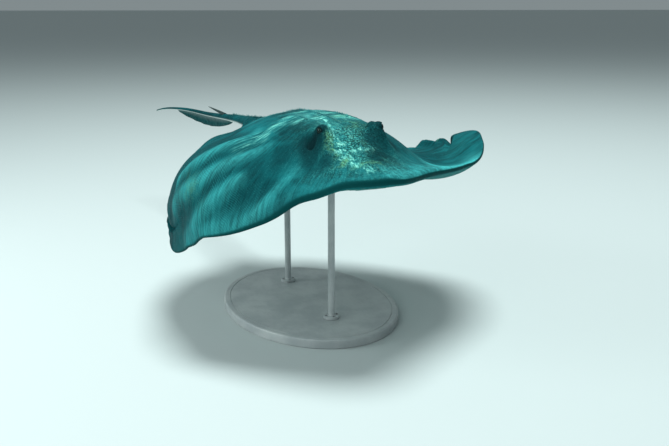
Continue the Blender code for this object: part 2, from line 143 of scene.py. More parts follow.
RIM_LIFT_RUN = 0.10
BELLY_PLACE = [0.0, 0.03, 0.08, 0.20, 0.50, 0.70, 0.83]
BELLY_DEPTH = [0.0, 0.002, 0.006, 0.012, 0.014, 0.011, 0.008]
BELLY_HALF_WIDTH = 0.16
TURRET_PLACE = (0.0625, 0.184)
TURRET_HALF_SIZE = (0.0205, 0.030)
TURRET_HEIGHT = 0.0190
# softer forms of the back: (reach, back, half reach, half back, height)
SOFT_FORMS = [(0.000, 0.185, 0.028, 0.040, -0.0045),     # saddle between the eyes
              (0.058, 0.130, 0.020, 0.022, -0.0075),     # hollow before each eye
              (0.000, 0.105, 0.018, 0.045, 0.0035),      # snout ridge
              (0.050, 0.345, 0.016, 0.050, 0.0025),      # shoulder girdle
              (0.108, 0.265, 0.020, 0.045, -0.0050),     # over the gills
              (0.098, 0.200, 0.020, 0.036, -0.0060),     # trough that holds the spiracle
              (0.078, 0.155, 0.010, 0.020, 0.0030)]      # cheek before the spiracle
MIDLINE_RIDGE = 0.0022
MIDLINE_HALF_WIDTH = 0.007
MIDLINE_GROWS = (0.24, 0.30)  # back places between which the ridge rises
MIDLINE_FADES = (0.80, 0.70)
SPIRACLE_PLACE = (0.0850, 0.195)
SPIRACLE_HALF_SIZE = (0.0120, 0.0190)
SPIRACLE_DEPTH = 0.013
SPIRACLE_LIP = 1.35          # where the pit begins, in its half sizes
SPIRACLE_WALL = 0.90         # and how much of that its wall takes
MOUTH_BACK = 0.118
MOUTH_HALF_WIDTH = 0.036
MOUTH_BOW = 0.10
MOUTH_OPENING = 0.0030       # half width of the gap between the lips
GILLS = 5
GILL_FIRST = (0.092, 0.186)
GILL_STEP = (-0.0065, 0.026)
GILL_TURN = (24, -11)        # degrees: the first gill's, and the change to each next one
GILL_BOW = 14
GILL_HALF_SIZE = (0.0135, 0.0019)
NOSTRIL_PLACE = (0.030, 0.095)
NOSTRIL_TURN = -30           # degrees
NOSTRIL_HALF_SIZE = (0.010, 0.0032)
CLOACA_BACK = 0.795
CLOACA_HALF_SIZE = (0.012, 0.0022)
SLIT_DEPTH = 0.0060
SLIT_ENDS = (1.0, 0.75)      # shares of a slit's half length between which it closes
LIP_HEIGHT = 0.0011
LIP_PLACE = (2.6, 1.6)       # middle and half width of a lip, in the slit's half widths
LIP_ENDS = (1.3, 0.8)
CURTAIN_HEIGHT = 0.0024      # flap of skin between the nostrils, which hangs before the mouth
CURTAIN_SIDE = (0.028, 0.022)
CURTAIN_FRONT = (0.090, 0.102)
CURTAIN_GAP = (0.0045, 0.0065)               # from the mouth to its edge and to its full height


def swelling(reach, back, row):
    """Height of one round bump, given as its place, half sizes and height."""
    middle_reach, middle_back, half_reach, half_back, height = row
    return height * bump((reach - middle_reach) / half_reach, (back - middle_back) / half_back)


def back_height(reach, back, from_rim):
    """Height of the body hump, wing muscle, eye turrets and softer forms."""
    stations, heights, half_widths, squareness = np.transpose(HUMP)
    half_width = curve(stations, half_widths, back)
    power = curve(stations, squareness, back)
    hump = curve(stations, heights, back) / (1 + (reach / half_width) ** power)
    muscle = WING_RISE * (1 - (1 - np.minimum(from_rim / WING_RUN, 1)) ** 2)
    off_turret = ((reach - TURRET_PLACE[0]) / TURRET_HALF_SIZE[0]) ** 2
    off_turret += ((back - TURRET_PLACE[1]) / TURRET_HALF_SIZE[1]) ** 2
    height = hump * ramp(from_rim, 0, BODY_EDGE_RUN) + muscle
    height += TURRET_HEIGHT * np.exp(-off_turret ** 2)
    for row in SOFT_FORMS:
        height += swelling(reach, back, row)
    ridge = MIDLINE_RIDGE * bump(reach / MIDLINE_HALF_WIDTH)
    return height + ridge * ramp(back, *MIDLINE_GROWS) * ramp(back, *MIDLINE_FADES)


def spiracle(reach, back, lip=SPIRACLE_LIP):
    """How far inside a spiracle a point is: one at its centre, none beyond its lip."""
    off = ((reach - SPIRACLE_PLACE[0]) / SPIRACLE_HALF_SIZE[0]) ** 2
    off += ((back - SPIRACLE_PLACE[1]) / SPIRACLE_HALF_SIZE[1]) ** 2
    return ramp(np.sqrt(off), lip, lip - SPIRACLE_WALL)


def belly_height(reach, back, from_rim):
    """Belly and wing muscle under the middle plane."""
    belly = curve(BELLY_PLACE, BELLY_DEPTH, back) / (1 + (reach / BELLY_HALF_WIDTH) ** 4)
    muscle = WING_DROP * (1 - (1 - np.minimum(from_rim / WING_RUN, 1)) ** 2)
    return belly * ramp(from_rim, 0, BODY_EDGE_RUN) + muscle


def turned(reach, back, centre, degrees):
    """Distances along and across a short line on the belly, from its centre."""
    turn = math.radians(degrees)
    along = (reach - centre[0]) * math.cos(turn) + (back - centre[1]) * math.sin(turn)
    off = (back - centre[1]) * math.cos(turn) - (reach - centre[0]) * math.sin(turn)
    return along, off


def slits(reach, back):
    """Mouth, gills, nostrils and cloaca: distance over half width, and share of length."""
    mouth_line = MOUTH_BACK - MOUTH_BOW * reach ** 2 / MOUTH_HALF_WIDTH
    found = [((back - mouth_line) / MOUTH_OPENING, reach / MOUTH_HALF_WIDTH)]
    for k in range(GILLS):
        centre = (GILL_FIRST[0] + GILL_STEP[0] * k, GILL_FIRST[1] + GILL_STEP[1] * k)
        along, off = turned(reach, back, centre, GILL_TURN[0] + GILL_TURN[1] * k)
        off += GILL_BOW * along ** 2
        found.append((off / GILL_HALF_SIZE[1], along / GILL_HALF_SIZE[0]))
    along, off = turned(reach, back, NOSTRIL_PLACE, NOSTRIL_TURN)
    found.append((off / NOSTRIL_HALF_SIZE[1], along / NOSTRIL_HALF_SIZE[0]))
    found.append((reach / CLOACA_HALF_SIZE[1], (back - CLOACA_BACK) / CLOACA_HALF_SIZE[0]))
    return found


def slit_opening(reach, back):
    """How open the belly is at a point, from none to one."""
    depth = np.zeros_like(reach)
    for off, along in slits(reach, back):
        depth = np.maximum(depth, bump(off) * ramp(np.abs(along), *SLIT_ENDS))
    return depth


def slit_lips(reach, back):
    """Raised skin along each slit, and the nasal curtain before the mouth."""
    lips = np.zeros_like(reach)
    for off, along in slits(reach, back):
        lips += bump((np.abs(off) - LIP_PLACE[0]) / LIP_PLACE[1]) * ramp(np.abs(along), *LIP_ENDS)
    curtain = ramp(reach, *CURTAIN_SIDE) * ramp(back, *CURTAIN_FRONT)
    curtain *= ramp(back, MOUTH_BACK - CURTAIN_GAP[0], MOUTH_BACK - CURTAIN_GAP[1])
    return LIP_HEIGHT * lips + CURTAIN_HEIGHT * curtain


# ---- Skin: the stroke of the wings ----------------------------------------------------------
# The right wing is at the bottom of its stroke and the left one is lifted. Each is bent along its
# reach by a slope that follows a rule, and soft folds and ruffles run in the thin outer part.
# Slopes are in degrees, up is positive, and back places are distances behind the snout.
FLIGHT_HEIGHT = 0.44         # metres, middle plane over the floor
BANK = math.radians(2.4)
CENTRE_BACK = 0.45
ROOT_REACH = (0.05, 0.18)    # a wing's own slope grows between these
RIGHT_HANG = -72             # slope of the hanging wing past its bend
HANG_START = (-0.20, 0.17)   # reach where the bend starts, at the head and in the middle
HANG_END = 0.39              # reach where it ends
MIDDLE_BACK = (0.02, 0.28)   # the head's bend gives way to the middle's between these
REAR_BACK = (0.50, 0.90)     # and goes part of the way back between these
REAR_SHARE = 0.5
RIGHT_TIP_EASE = 10          # how much less steep the tip hangs
TIP_REACH = (0.42, 0.50)
RIGHT_RISE = (0.17, 0.36, 0.06, 0.10, 15)    # swell before the bend: place, half sizes, slope
RIGHT_CURL = (0.40, 0.36, 0.05, 0.20, -12)   # where the wing hangs steepest
LEFT_ROOT = -5               # slope of the body on the left at the snout, gone by ROOT_BACK
ROOT_BACK = 0.60
LEFT_LIFT = (67, 77)         # slope of the raised wing at the snout, and its loss toward the rear
LIFT_REACH = (0.15, 0.42)    # the wing turns up between these
LEFT_DIP = (33, 20)          # dip between body and raised wing, and its loss toward the rear
DIP_REACH = (0.42, 0.29)     # it is gone past the first and whole inside the second
DIP_BACK = (0.02, 0.36)      # and it grows between these
BODY_REACH = 0.10
BEND_STEPS = 24
# crests of the soft folds, as (reach, back) places in the flat wing, body end first
RIGHT_CRESTS = [[(0.150, 0.385), (0.205, 0.345), (0.270, 0.360), (0.320, 0.440)],
                [(0.160, 0.275), (0.245, 0.281), (0.320, 0.325), (0.375, 0.450)],
                [(0.235, 0.228), (0.300, 0.240), (0.370, 0.268), (0.450, 0.345)],
                [(0.130, 0.160), (0.220, 0.150), (0.300, 0.180), (0.380, 0.245)]]
LEFT_CRESTS = [[(0.110, 0.162), (0.150, 0.130), (0.210, 0.118), (0.280, 0.160)],
               [(0.130, 0.270), (0.240, 0.240), (0.340, 0.280), (0.430, 0.360)],
               [(0.140, 0.400), (0.250, 0.400), (0.350, 0.420), (0.440, 0.460)]]
CREST_HALF_WIDTH = 0.017
CREST_WIDENS = (0.8, 0.6)    # share of that width at the body end, and what it gains outwards
CREST_STEPS = 24
RIGHT_FOLD = 0.0060
LEFT_FOLD = 0.0022
FOLD_REACH = (0.13, 0.21)    # folds grow between these, and between the first back places
FOLD_GROWS = (0.08, 0.15)
FOLD_FADES = (0.70, 0.50)
# folds of the rear rim: (distance behind the snout, half length, height)
RIGHT_RUFFLES = [(0.590, 0.010, 0.004), (0.612, 0.008, -0.014), (0.665, 0.030, 0.003)]
LEFT_RUFFLES = [(0.538, 0.0090, -0.040), (0.556, 0.006, 0.004), (0.572, 0.007, -0.005),
                (0.594, 0.011, 0.012), (0.625, 0.012, -0.007), (0.690, 0.030, -0.012)]
RIGHT_RUFFLE_SKEW = 2.6      # how far a ruffle runs forward for each step in from the rim
LEFT_RUFFLE_SKEW = 1.3
RUFFLE_RUN = 0.12
RIGHT_DROOP = (0.125, 0.066, 0.042, 0.045, 0.011)   # where the right leading edge turns down
SCALLOP_HEIGHT = 0.0012
SCALLOP_TURNS = 190          # radians of wave for each disc width of rim
SCALLOP_GROWS = (0.48, 0.54)
SCALLOP_FADES = (0.84, 0.79)
SCALLOP_RUN = 0.035


def right_slope(reach, back):
    """Slope of the hanging wing in radians: level at the body, steep past its bend."""
    middle = ramp(back, *MIDDLE_BACK) * (1 - REAR_SHARE * ramp(back, *REAR_BACK))
    start = HANG_START[0] + (HANG_START[1] - HANG_START[0]) * middle
    degrees = RIGHT_HANG * ramp(reach, start, HANG_END) * ramp(reach, *ROOT_REACH)
    degrees = degrees + RIGHT_TIP_EASE * ramp(reach, *TIP_REACH)
    degrees = degrees + swelling(reach, back, RIGHT_RISE) + swelling(reach, back, RIGHT_CURL)
    return np.radians(degrees)


def left_slope(reach, back):
    """Slope of the raised wing in radians: a dip beside the body, then up to the tip."""
    own = ramp(reach, *ROOT_REACH)
    degrees = (LEFT_LIFT[0] - LEFT_LIFT[1] * back) * ramp(reach, *LIFT_REACH)
    degrees = degrees + LEFT_ROOT * (1 - own) * ramp(back, ROOT_BACK, 0)
    dip = (LEFT_DIP[0] - LEFT_DIP[1] * back) * own * ramp(reach, *DIP_REACH) * ramp(back, *DIP_BACK)
    return np.radians(degrees - dip)


def bend(reach, back, height, side):
    """Swing points of the flat half disc into the pose of their wing."""
    across = np.zeros_like(reach)
    lifted = np.zeros_like(reach)
    for slope, chosen in ((left_slope, side > 0), (right_slope, side < 0)):
        out = np.zeros(chosen.sum())
        up = np.zeros(chosen.sum())
        far, behind = reach[chosen], back[chosen]
        for k in range(BEND_STEPS):
            angle = slope(far * (k + 0.5) / BEND_STEPS, behind)
            out += far / BEND_STEPS * np.cos(angle)
            up += far / BEND_STEPS * np.sin(angle)
        angle = slope(far, behind) * ramp(far, BODY_REACH, 2 * BODY_REACH)
        across[chosen] = out - np.sin(angle) * height[chosen]
        lifted[chosen] = up + np.cos(angle) * height[chosen]
    return side * across, back, lifted


def place(across, back, up):
    """From disc widths on the ray to metres over the floor, with the bank applied."""
    x = DISC_WIDTH * across
    y = DISC_WIDTH * (back - CENTRE_BACK)
    z = DISC_WIDTH * up
    tilted_x = x * math.cos(BANK) - z * math.sin(BANK)
    tilted_z = x * math.sin(BANK) + z * math.cos(BANK)
    return np.stack([tilted_x, y, tilted_z + FLIGHT_HEIGHT], -1)


def line_distance(reach, back, corners):
    """Distance to a smooth line through the corners, and the share of the line passed there."""
    shares = np.linspace(0, 1, CREST_STEPS + 1)
    line = curve(np.linspace(0, 1, len(corners)), corners, shares)
    nearest = np.full(reach.shape, 9.0)
    passed = np.zeros(reach.shape)
    for k in range(len(line) - 1):
        ahead = line[k + 1] - line[k]
        t = ((reach - line[k, 0]) * ahead[0] + (back - line[k, 1]) * ahead[1]) / (ahead @ ahead)
        t = np.clip(t, 0, 1)
        off = np.hypot(reach - line[k, 0] - t * ahead[0], back - line[k, 1] - t * ahead[1])
        passed = np.where(off < nearest, (k + t) / (len(line) - 1), passed)
        nearest = np.minimum(off, nearest)
    return nearest, passed


def crests(reach, back, side):
    """How near a point is to the crest of a soft fold, from none to one."""
    near = np.zeros_like(reach)
    for sign, lines in ((1, LEFT_CRESTS), (-1, RIGHT_CRESTS)):
        for line in lines:
            off, passed = line_distance(reach, back, line)
            half_width = CREST_HALF_WIDTH * (CREST_WIDENS[0] + CREST_WIDENS[1] * passed)
            near = np.maximum(near, np.where(side == sign, bump(off / half_width), 0))
    return near


def folds(reach, back, side):
    """Depth of the hollows between the crests, only ever inward from the plain wing."""
    depth = np.where(side > 0, LEFT_FOLD, RIGHT_FOLD)
    zone = ramp(reach, *FOLD_REACH) * ramp(back, *FOLD_GROWS) * ramp(back, *FOLD_FADES)
    return depth * zone * (crests(reach, back, side) - 1)


def droop(reach, back, side):
    """Depth by which the leading edge beside the snout turns down on the right."""
    return np.where(side < 0, swelling(reach, back, RIGHT_DROOP), 0)


def ruffles(back, from_rim, side):
    """Height of the folds in the rear rim of a wing."""
    height = np.zeros_like(back)
    for sign, skew, rows in ((1, LEFT_RUFFLE_SKEW, LEFT_RUFFLES),
                             (-1, RIGHT_RUFFLE_SKEW, RIGHT_RUFFLES)):
        for centre, half_length, rise in rows:
            off = (back + skew * from_rim - centre) / half_length
            height += np.where(side == sign, rise * bump(off), 0)
    scallops = SCALLOP_HEIGHT * np.sin(back * SCALLOP_TURNS)
    scallops *= ramp(back, *SCALLOP_GROWS) * ramp(back, *SCALLOP_FADES)
    return height * ramp(from_rim, RUFFLE_RUN, 0) + scallops * ramp(from_rim, SCALLOP_RUN, 0)


# ---- Skin: lids and skin points -------------------------------------------------------------
# Rays have no closing lids. The hide wraps the eyeball in a thick ring and ends in a soft edge
# round it, so the skin is drawn over each eyeball and goes under it inside that edge.
EYE_PLACE = (0.0660, 0.1815, 0.0960)
EYE_RADIUS = 0.0108
EYE_FACING = (0.93, -0.30, 0.20)
LID_HALF_ANGLES = (math.radians(54), math.radians(36))
LID_THICKNESS = 0.0020
LID_REACH = 3.0              # how far the hide is drawn to the eyeball, in its radii
LID_FILLET = 5               # the lower it is, the softer a lid runs into the turret
LID_EDGE = (0.90, 1.10)      # the lid rounds inward between these shares of its opening
LID_SHARES = (0.7, 0.6)      # of its thickness: at the middle, and what the top gains
LID_LEAST_AHEAD = 0.02       # keeps angles beside an eye within a quarter turn
LID_TUCK = 0.0016            # metres that the skin goes under the eyeball inside the opening


def eye_centre(side):
    reach, back, height = (np.array([value]) for value in EYE_PLACE)
    return place(*bend(reach, back, height, np.array([side])))[0]


def eye_axes(side):
    """Directions of an eye: outwards, forwards and upwards."""
    outward = np.array([side * EYE_FACING[0], EYE_FACING[1], EYE_FACING[2]])
    outward /= np.linalg.norm(outward)
    upward = np.array([0.0, 0.0, 1.0]) - outward[2] * outward
    upward /= np.linalg.norm(upward)
    return outward, np.cross(upward, outward) * side, upward


def wrap_eyes(points, side):
    """Draw the skin over the eyeballs as lids, and under them inside the lid opening."""
    points = points.copy()
    radius = EYE_RADIUS * DISC_WIDTH
    for sign in (-1, 1):
        outward, forward, upward = eye_axes(sign)
        off = points - eye_centre(sign)
        far = np.linalg.norm(off, axis=-1)
        near = (far < LID_REACH * radius) & (side * sign > 0)
        ray = off[near] / far[near, None]
        ahead = np.maximum(ray @ outward, LID_LEAST_AHEAD)
        level = np.arctan2(ray @ forward, ahead) / LID_HALF_ANGLES[0]
        rise = np.arctan2(ray @ upward, ahead) / LID_HALF_ANGLES[1]
        shut = ramp(np.hypot(level, rise), *LID_EDGE)
        lid = radius + LID_THICKNESS * (LID_SHARES[0] + LID_SHARES[1] * np.clip(rise, -1, 1))
        outer = (far[near] ** LID_FILLET + lid ** LID_FILLET) ** (1 / LID_FILLET)
        wrapped = np.where(shut > 0.5, outer, np.minimum(far[near], lid))
        inside = np.minimum(wrapped, radius - LID_TUCK)
        points[near] = eye_centre(sign) + ray * (inside + (wrapped - inside) * shut)[:, None]
    return points


def skin_points(round_share, out_share, side, upper):
    """Places on the posed skin of the disc."""
    reach, back, from_rim, radius, turn, _ = flat_place(round_share, out_share)
    lift = radius * (1 - ramp(from_rim, 0, RIM_LIFT_RUN)) + ruffles(back, from_rim, side)
    lift += folds(reach, back, side) - droop(reach, back, side)
    rounded = radius * np.cos(turn)
    over = back_height(reach, back, from_rim) - SPIRACLE_DEPTH * spiracle(reach, back)
    under = belly_height(reach, back, from_rim) + slit_lips(reach, back)
    under -= SLIT_DEPTH * slit_opening(reach, back)
    height = lift + np.where(upper, rounded + over, -rounded - under)
    points = place(*bend(reach, back, height, side))
    return np.where(upper[:, None], wrap_eyes(points, side), points)


# ---- Skin: where its markings lie -----------------------------------------------------------
# Southern stingrays are slate to olive on the back, with sandy and dark patches on the head, a dark
# edge, and a white belly. Painted highlights lie where crests, ridges and the leading edge face the
# overhead light, and painted shade in hollows, beside the eye turrets and over the lifted left wing.
# Each mark is a soft patch: (across, back, half across, half back, strength).
# mostly painted shade: beside the eye turrets and spiracles, between the folds of the right wing, and
# over the lifted left wing
SHADE_PATCHES = [(-0.090, 0.186, 0.028, 0.044, 1.5), (-0.104, 0.160, 0.024, 0.034, 1.2),
                (-0.084, 0.126, 0.032, 0.026, 1.0), (-0.068, 0.184, 0.014, 0.022, 1.2),
                (0.046, 0.150, 0.032, 0.036, 1.4), (0.064, 0.184, 0.024, 0.034, 1.3),
                (0.036, 0.106, 0.036, 0.020, 1.2), (0.012, 0.084, 0.020, 0.018, 1.1),
                (0.098, 0.196, 0.026, 0.042, 0.9), (-0.148, 0.216, 0.045, 0.030, 1.1),
                (-0.238, 0.198, 0.050, 0.024, 1.0),
                (0.290, 0.420, 0.130, 0.130, 0.45), (0.000, 0.830, 0.100, 0.060, 0.9)]
# painted highlights on the dome, between the eyes and on the snout
HIGHLIGHT_PATCHES = [(-0.005, 0.117, 0.022, 0.008, 0.9), (0.042, 0.312, 0.034, 0.030, 1.0),
                (0.030, 0.385, 0.060, 0.026, 0.8), (-0.036, 0.335, 0.040, 0.034, 0.8),
                (0.000, 0.440, 0.046, 0.022, 0.8), (-0.016, 0.182, 0.020, 0.045, 0.5)]
# soft painted light beside the snout and on the left wing
SOFT_HIGHLIGHT_PATCHES = [(0.080, 0.090, 0.034, 0.022, 0.6), (-0.100, 0.105, 0.034, 0.020, 0.45),
                  (0.250, 0.225, 0.080, 0.050, 1.0), (0.400, 0.385, 0.060, 0.070, 0.12)]
# sandy patches of the ray's own; the one on the dome top also warms its painted highlight
SAND_PATCHES = [(-0.060, 0.148, 0.015, 0.026, 1.0), (-0.056, 0.098, 0.016, 0.012, 1.0),
                (0.036, 0.318, 0.024, 0.020, 0.6),
                (-0.014, 0.066, 0.030, 0.010, 0.8), (0.030, 0.240, 0.030, 0.040, 0.4),
                (-0.330, 0.330, 0.030, 0.050, 0.22), (0.444, 0.548, 0.012, 0.010, 0.9)]
# painted highlight along the lit ridge of the head, from behind the eyes to the snout
HIGHLIGHT_LINE = [(-0.012, 0.320), (-0.034, 0.225), (-0.046, 0.168), (-0.042, 0.130), (-0.044, 0.095),
             (-0.020, 0.043)]
HIGHLIGHT_LINE_HALF_WIDTH = 0.013
HIGHLIGHT_LINE_LOSS = 0.4         # share of its light that the line loses toward the snout
HIGHLIGHT_MARGIN = (0.012, 0.038) # painted highlight on the leading edge: distance from the rim, half width
MARGIN_FADES = (0.50, 0.38)
MARGIN_LEFT = 1.5
MARGIN_LEFT_FADES = (0.42, 0.30)
MARGIN_RIGHT = 0.30
# painted highlight along the crest of the right shoulder, where it turns up to the light
BACK_CREST = [(-0.060, 0.385), (-0.115, 0.348), (-0.174, 0.326), (-0.232, 0.300)]
BACK_CREST_HALF_WIDTH = 0.020
BACK_CREST_LIGHT = (0.85, 0.7)               # at its body end, and how slowly it fades
# painted highlight on the crests of the folds, and painted shade on the open wing between them
CREST_LIGHT = 0.50
CREST_FADES_LEFT = (0.26, 0.16)
CREST_LOSS_RIGHT = (0.25, 0.34, 0.44)        # share lost, between these reaches
PLAIN_SHADE = (0.25, 0.8)    # painted shade of the open wing between its crests, left and right
PLAIN_REACH = (0.14, 0.20)
PLAIN_FADES = (0.70, 0.55)


def patches(across, back, rows):
    """Strongest of the soft patches at each point."""
    shown = np.zeros_like(across)
    for middle_across, middle_back, half_across, half_back, strength in rows:
        off = bump((across - middle_across) / half_across, (back - middle_back) / half_back)
        shown = np.maximum(shown, strength * off)
    return np.minimum(shown, 1)


def markings(reach, back, from_rim, side):
    """Shares of painted shade, painted light, painted highlight streaks and sand on the back."""
    across = reach * side
    off, passed = line_distance(across, back, HIGHLIGHT_LINE)
    streaks = bump(off / HIGHLIGHT_LINE_HALF_WIDTH) * (1 - HIGHLIGHT_LINE_LOSS * passed)
    off, passed = line_distance(across, back, BACK_CREST)
    along_crest = BACK_CREST_LIGHT[0] * (1 - passed) ** BACK_CREST_LIGHT[1]
    streaks = np.maximum(streaks, along_crest * bump(off / BACK_CREST_HALF_WIDTH))
    streaks = np.maximum(streaks, patches(across, back, HIGHLIGHT_PATCHES))
    margin_highlight = bump((from_rim - HIGHLIGHT_MARGIN[0]) / HIGHLIGHT_MARGIN[1]) * ramp(back, *MARGIN_FADES)
    margin_highlight *= np.where(side > 0, MARGIN_LEFT * ramp(reach, *MARGIN_LEFT_FADES), MARGIN_RIGHT)
    light = np.maximum(np.maximum(streaks, margin_highlight), patches(across, back, SOFT_HIGHLIGHT_PATCHES))
    near = crests(reach, back, side)
    on_left = CREST_LIGHT * ramp(back, *CREST_FADES_LEFT)
    on_right = CREST_LIGHT - CREST_LOSS_RIGHT[0] * ramp(reach, *CREST_LOSS_RIGHT[1:])
    light = np.maximum(light, near * np.where(side > 0, on_left, on_right))
    plain = np.where(side > 0, PLAIN_SHADE[0] * np.maximum(1 - margin_highlight, 0), PLAIN_SHADE[1])
    plain *= ramp(reach, *PLAIN_REACH) * ramp(back, *PLAIN_FADES) * (1 - near) ** 2
    shade = np.maximum(patches(across, back, SHADE_PATCHES), plain)
    sand = patches(across, back, SAND_PATCHES)
    return {"shade": shade, "light": light, "streaks": streaks, "sand": sand}


# ---- Skin: the mesh of the disc -------------------------------------------------------------
# Four quarters, above and below, left and right, meet at the midline and round the rim. Their
# grid follows the fin rays and is split finer round the head, the ruffles and the belly slits.
ROUND_STEPS = 216
UPPER_STEPS = 66
LOWER_STEPS = 33
SNOUT_CROWDING = 0.22        # how much closer the grid stands at the snout
# limits of the finer grid, in disc widths
FINE_HEAD = (0.115, 0.04, 0.25, 0.02)        # reach, first and last back place, and off the rim
FINE_EYE = (-0.002, 0.024)   # middle's reach from the eye's, and radius
FINE_PIT = (0.7, 0.019)      # share of back distances that counts, and radius
FINE_RUFFLES = (0.44, 0.60, 0.10)            # shares of the way round, and off the rim
FINE_SLITS = (6, 4)          # half widths of a slit, for the first and second split
FINE_SLIT_LENGTH = 1.3
# marks of the head: (reach, back, half reach, half back, strength); the two round the eye are painted
# shade
EYE_RING_SHADE = (0.0750, 0.182, 0.011, 0.020, 0.7)
EYE_SIDE_SHADE = (0.094, 0.190, 0.024, 0.038, 0.62)
SPIRACLE_SHADE = 1.40        # where the painted shade of the pit begins, in its half sizes
CROWN = (0.0, 0.16, 0.085, 0.12, 1.0)
PRICKLE_BAND = (0.030, 0.035)                # half width at the head, and what it gains behind
PRICKLE_BAND_WIDENS = (0.12, 0.27)
PRICKLE_BAND_STARTS = (0.09, 0.15)
EDGE_THINS = (3, 0.05)       # how much thinner the dark edge's painted shade is on the lit left rim, and from what reach
WING_STARTS = (0.13, 0.25)   # reaches between which the hide turns from body to wing
BELLY_TURN = 1.2             # radians round the rim over which belly turns to back
RIM_LENGTH = 1.28            # metres of rim on each side, as the paint counts it
LEFT_SHIFT = 2               # metres that the left's fin rays are moved on, for other streaks
PLAN_CORNER = (0.5, 0.03)    # of the flat plan, which holds the whole ray in a unit square
PLAN_SCALE = 0.9
PLAN_TAIL = (0.79, 0.17)     # where the tail starts in it, and its length for each metre


def refined(places, faces, wanted):
    """Split the faces of a flat layout in four wherever wanted(places) is true."""
    chosen = wanted(places)
    places = [tuple(p) for p in places]
    middles = {}

    def middle(a, b):
        key = (min(a, b), max(a, b))
        if key not in middles:
            middles[key] = len(places)
            places.append(tuple((np.array(places[a]) + np.array(places[b])) / 2))
        return middles[key]

    split = [len(face) == 4 and any(chosen[corner] for corner in face) for face in faces]
    for face, parted in zip(faces, split):
        if parted:
            for a, b in zip(face, face[1:] + face[:1]):
                middle(a, b)
    result = []
    for face, parted in zip(faces, split):
        sides = list(zip(face, face[1:] + face[:1]))
        if parted:
            centre = len(places)
            places.append(tuple(np.mean([places[corner] for corner in face], axis=0)))
            mids = [middle(a, b) for a, b in sides]
            result += [[face[k], mids[k], centre, mids[k - 1]] for k in range(4)]
        else:
            loop = []
            for a, b in sides:
                loop.append(a)
                if (min(a, b), max(a, b)) in middles:
                    loop.append(middle(a, b))
            result.append(loop)
    return np.array(places), result


def on_head(places):
    reach, back, from_rim, *_ = flat_place(*places.T)
    widest, first, last, off_rim = FINE_HEAD
    return (reach < widest) & (back > first) & (back < last) & (from_rim > off_rim)


def near_eye(places):
    reach, back, *_ = flat_place(*places.T)
    eye = np.hypot(reach - EYE_PLACE[0] - FINE_EYE[0], back - EYE_PLACE[1])
    pit = np.hypot(reach - SPIRACLE_PLACE[0], (back - SPIRACLE_PLACE[1]) * FINE_PIT[0])
    return (eye < FINE_EYE[1]) | (pit < FINE_PIT[1])


def near_ruffles(places):
    share = places[:, 0]
    _, _, from_rim, *_ = flat_place(*places.T)
    return (share > FINE_RUFFLES[0]) & (share < FINE_RUFFLES[1]) & (from_rim < FINE_RUFFLES[2])


def near_slit(places, half_widths):
    reach, back, *_ = flat_place(*places.T)
    hit = np.zeros(len(reach), bool)
    for off, along in slits(reach, back):
        hit |= (np.abs(off) < half_widths) & (np.abs(along) < FINE_SLIT_LENGTH)
    return hit


def quarter_layout(steps, upper):
    """Flat layout of one quarter of the skin, finer where the features are."""
    round_share, out_share = np.meshgrid(np.linspace(0, 1, ROUND_STEPS + 1),
                                         np.linspace(0, 1, steps + 1), indexing="ij")
    round_share = round_share * (1 - SNOUT_CROWDING + SNOUT_CROWDING * round_share)
    places = np.stack([round_share.ravel(), out_share.ravel()], -1)
    row = steps + 1
    faces = [[i * row + j, (i + 1) * row + j, (i + 1) * row + j + 1, i * row + j + 1]
             for i in range(ROUND_STEPS) for j in range(steps)]
    if upper:
        places, faces = refined(places, faces, on_head)
        places, faces = refined(places, faces, near_eye)
    else:
        for half_widths in FINE_SLITS:
            places, faces = refined(places, faces, lambda p: near_slit(p, half_widths))
    return refined(places, faces, near_ruffles)


skin_places = []             # corner points of the whole skin, and what is known of each
skin_faces = []
skin_marks = {name: [] for name in ("underside", "opening", "to_rim", "crown", "wing", "tail",
                                    "shade", "light", "streaks", "sand", "keel", "prickles")}
skin_rays = []               # metres along the rim and out along the fin ray
skin_plan = []               # place on the flat plan of the whole ray


def plan_place(across, back):
    """Place on the flat plan of a point of the disc."""
    return PLAN_CORNER[0] + PLAN_SCALE * across, PLAN_CORNER[1] + PLAN_SCALE * back


def add_skin(points, faces, rays, plan, **marks):
    """Add one stretch of skin. A mark that isn't given is none."""
    start = sum(len(part) for part in skin_places)
    skin_places.append(points)
    skin_faces.extend([start + corner for corner in face] for face in faces)
    skin_rays.append(np.stack(rays, -1))
    skin_plan.append(np.stack(plan, -1))
    for name, values in skin_marks.items():
        values.append(np.broadcast_to(marks.get(name, 0.0), len(points)))


for upper, steps in ((True, UPPER_STEPS), (False, LOWER_STEPS)):
    layout, layout_faces = quarter_layout(steps, upper)
    for sign in (1, -1):
        share, out = layout.T
        side = np.full(len(share), sign)
        reach, back, from_rim, _, turn, run = flat_place(share, out)
        marks = markings(reach, back, from_rim, side)
        if upper:
            # painted shade round each eye, and in and round each spiracle
            hollow = np.maximum(swelling(reach, back, EYE_RING_SHADE), swelling(reach, back, EYE_SIDE_SHADE))
            marks["opening"] = np.maximum(spiracle(reach, back, SPIRACLE_SHADE), hollow)
            marks["crown"] = swelling(reach, back, CROWN)
            band = PRICKLE_BAND[0] + PRICKLE_BAND[1] * ramp(back, *PRICKLE_BAND_WIDENS)
            prickly = bump(reach / band) * ramp(back, *PRICKLE_BAND_STARTS)
            marks["prickles"] = prickly * (1 - marks["opening"])
        else:
            marks["underside"] = 1 - ramp(turn, 0, BELLY_TURN)
            # painted shade in the mouth, gills, nostrils and cloaca
            marks["opening"] = slit_opening(reach, back)
        thinner = 1 + EDGE_THINS[0] * ramp(reach * side, 0, EDGE_THINS[1]) * upper
        add_skin(skin_points(share, out, side, np.full(len(share), upper)), layout_faces,
                 (share * RIM_LENGTH + (sign > 0) * LEFT_SHIFT, out * run * DISC_WIDTH),
                 plan_place(reach * sign, back), to_rim=from_rim * DISC_WIDTH * thinner,
                 wing=ramp(reach, *WING_STARTS), **marks)


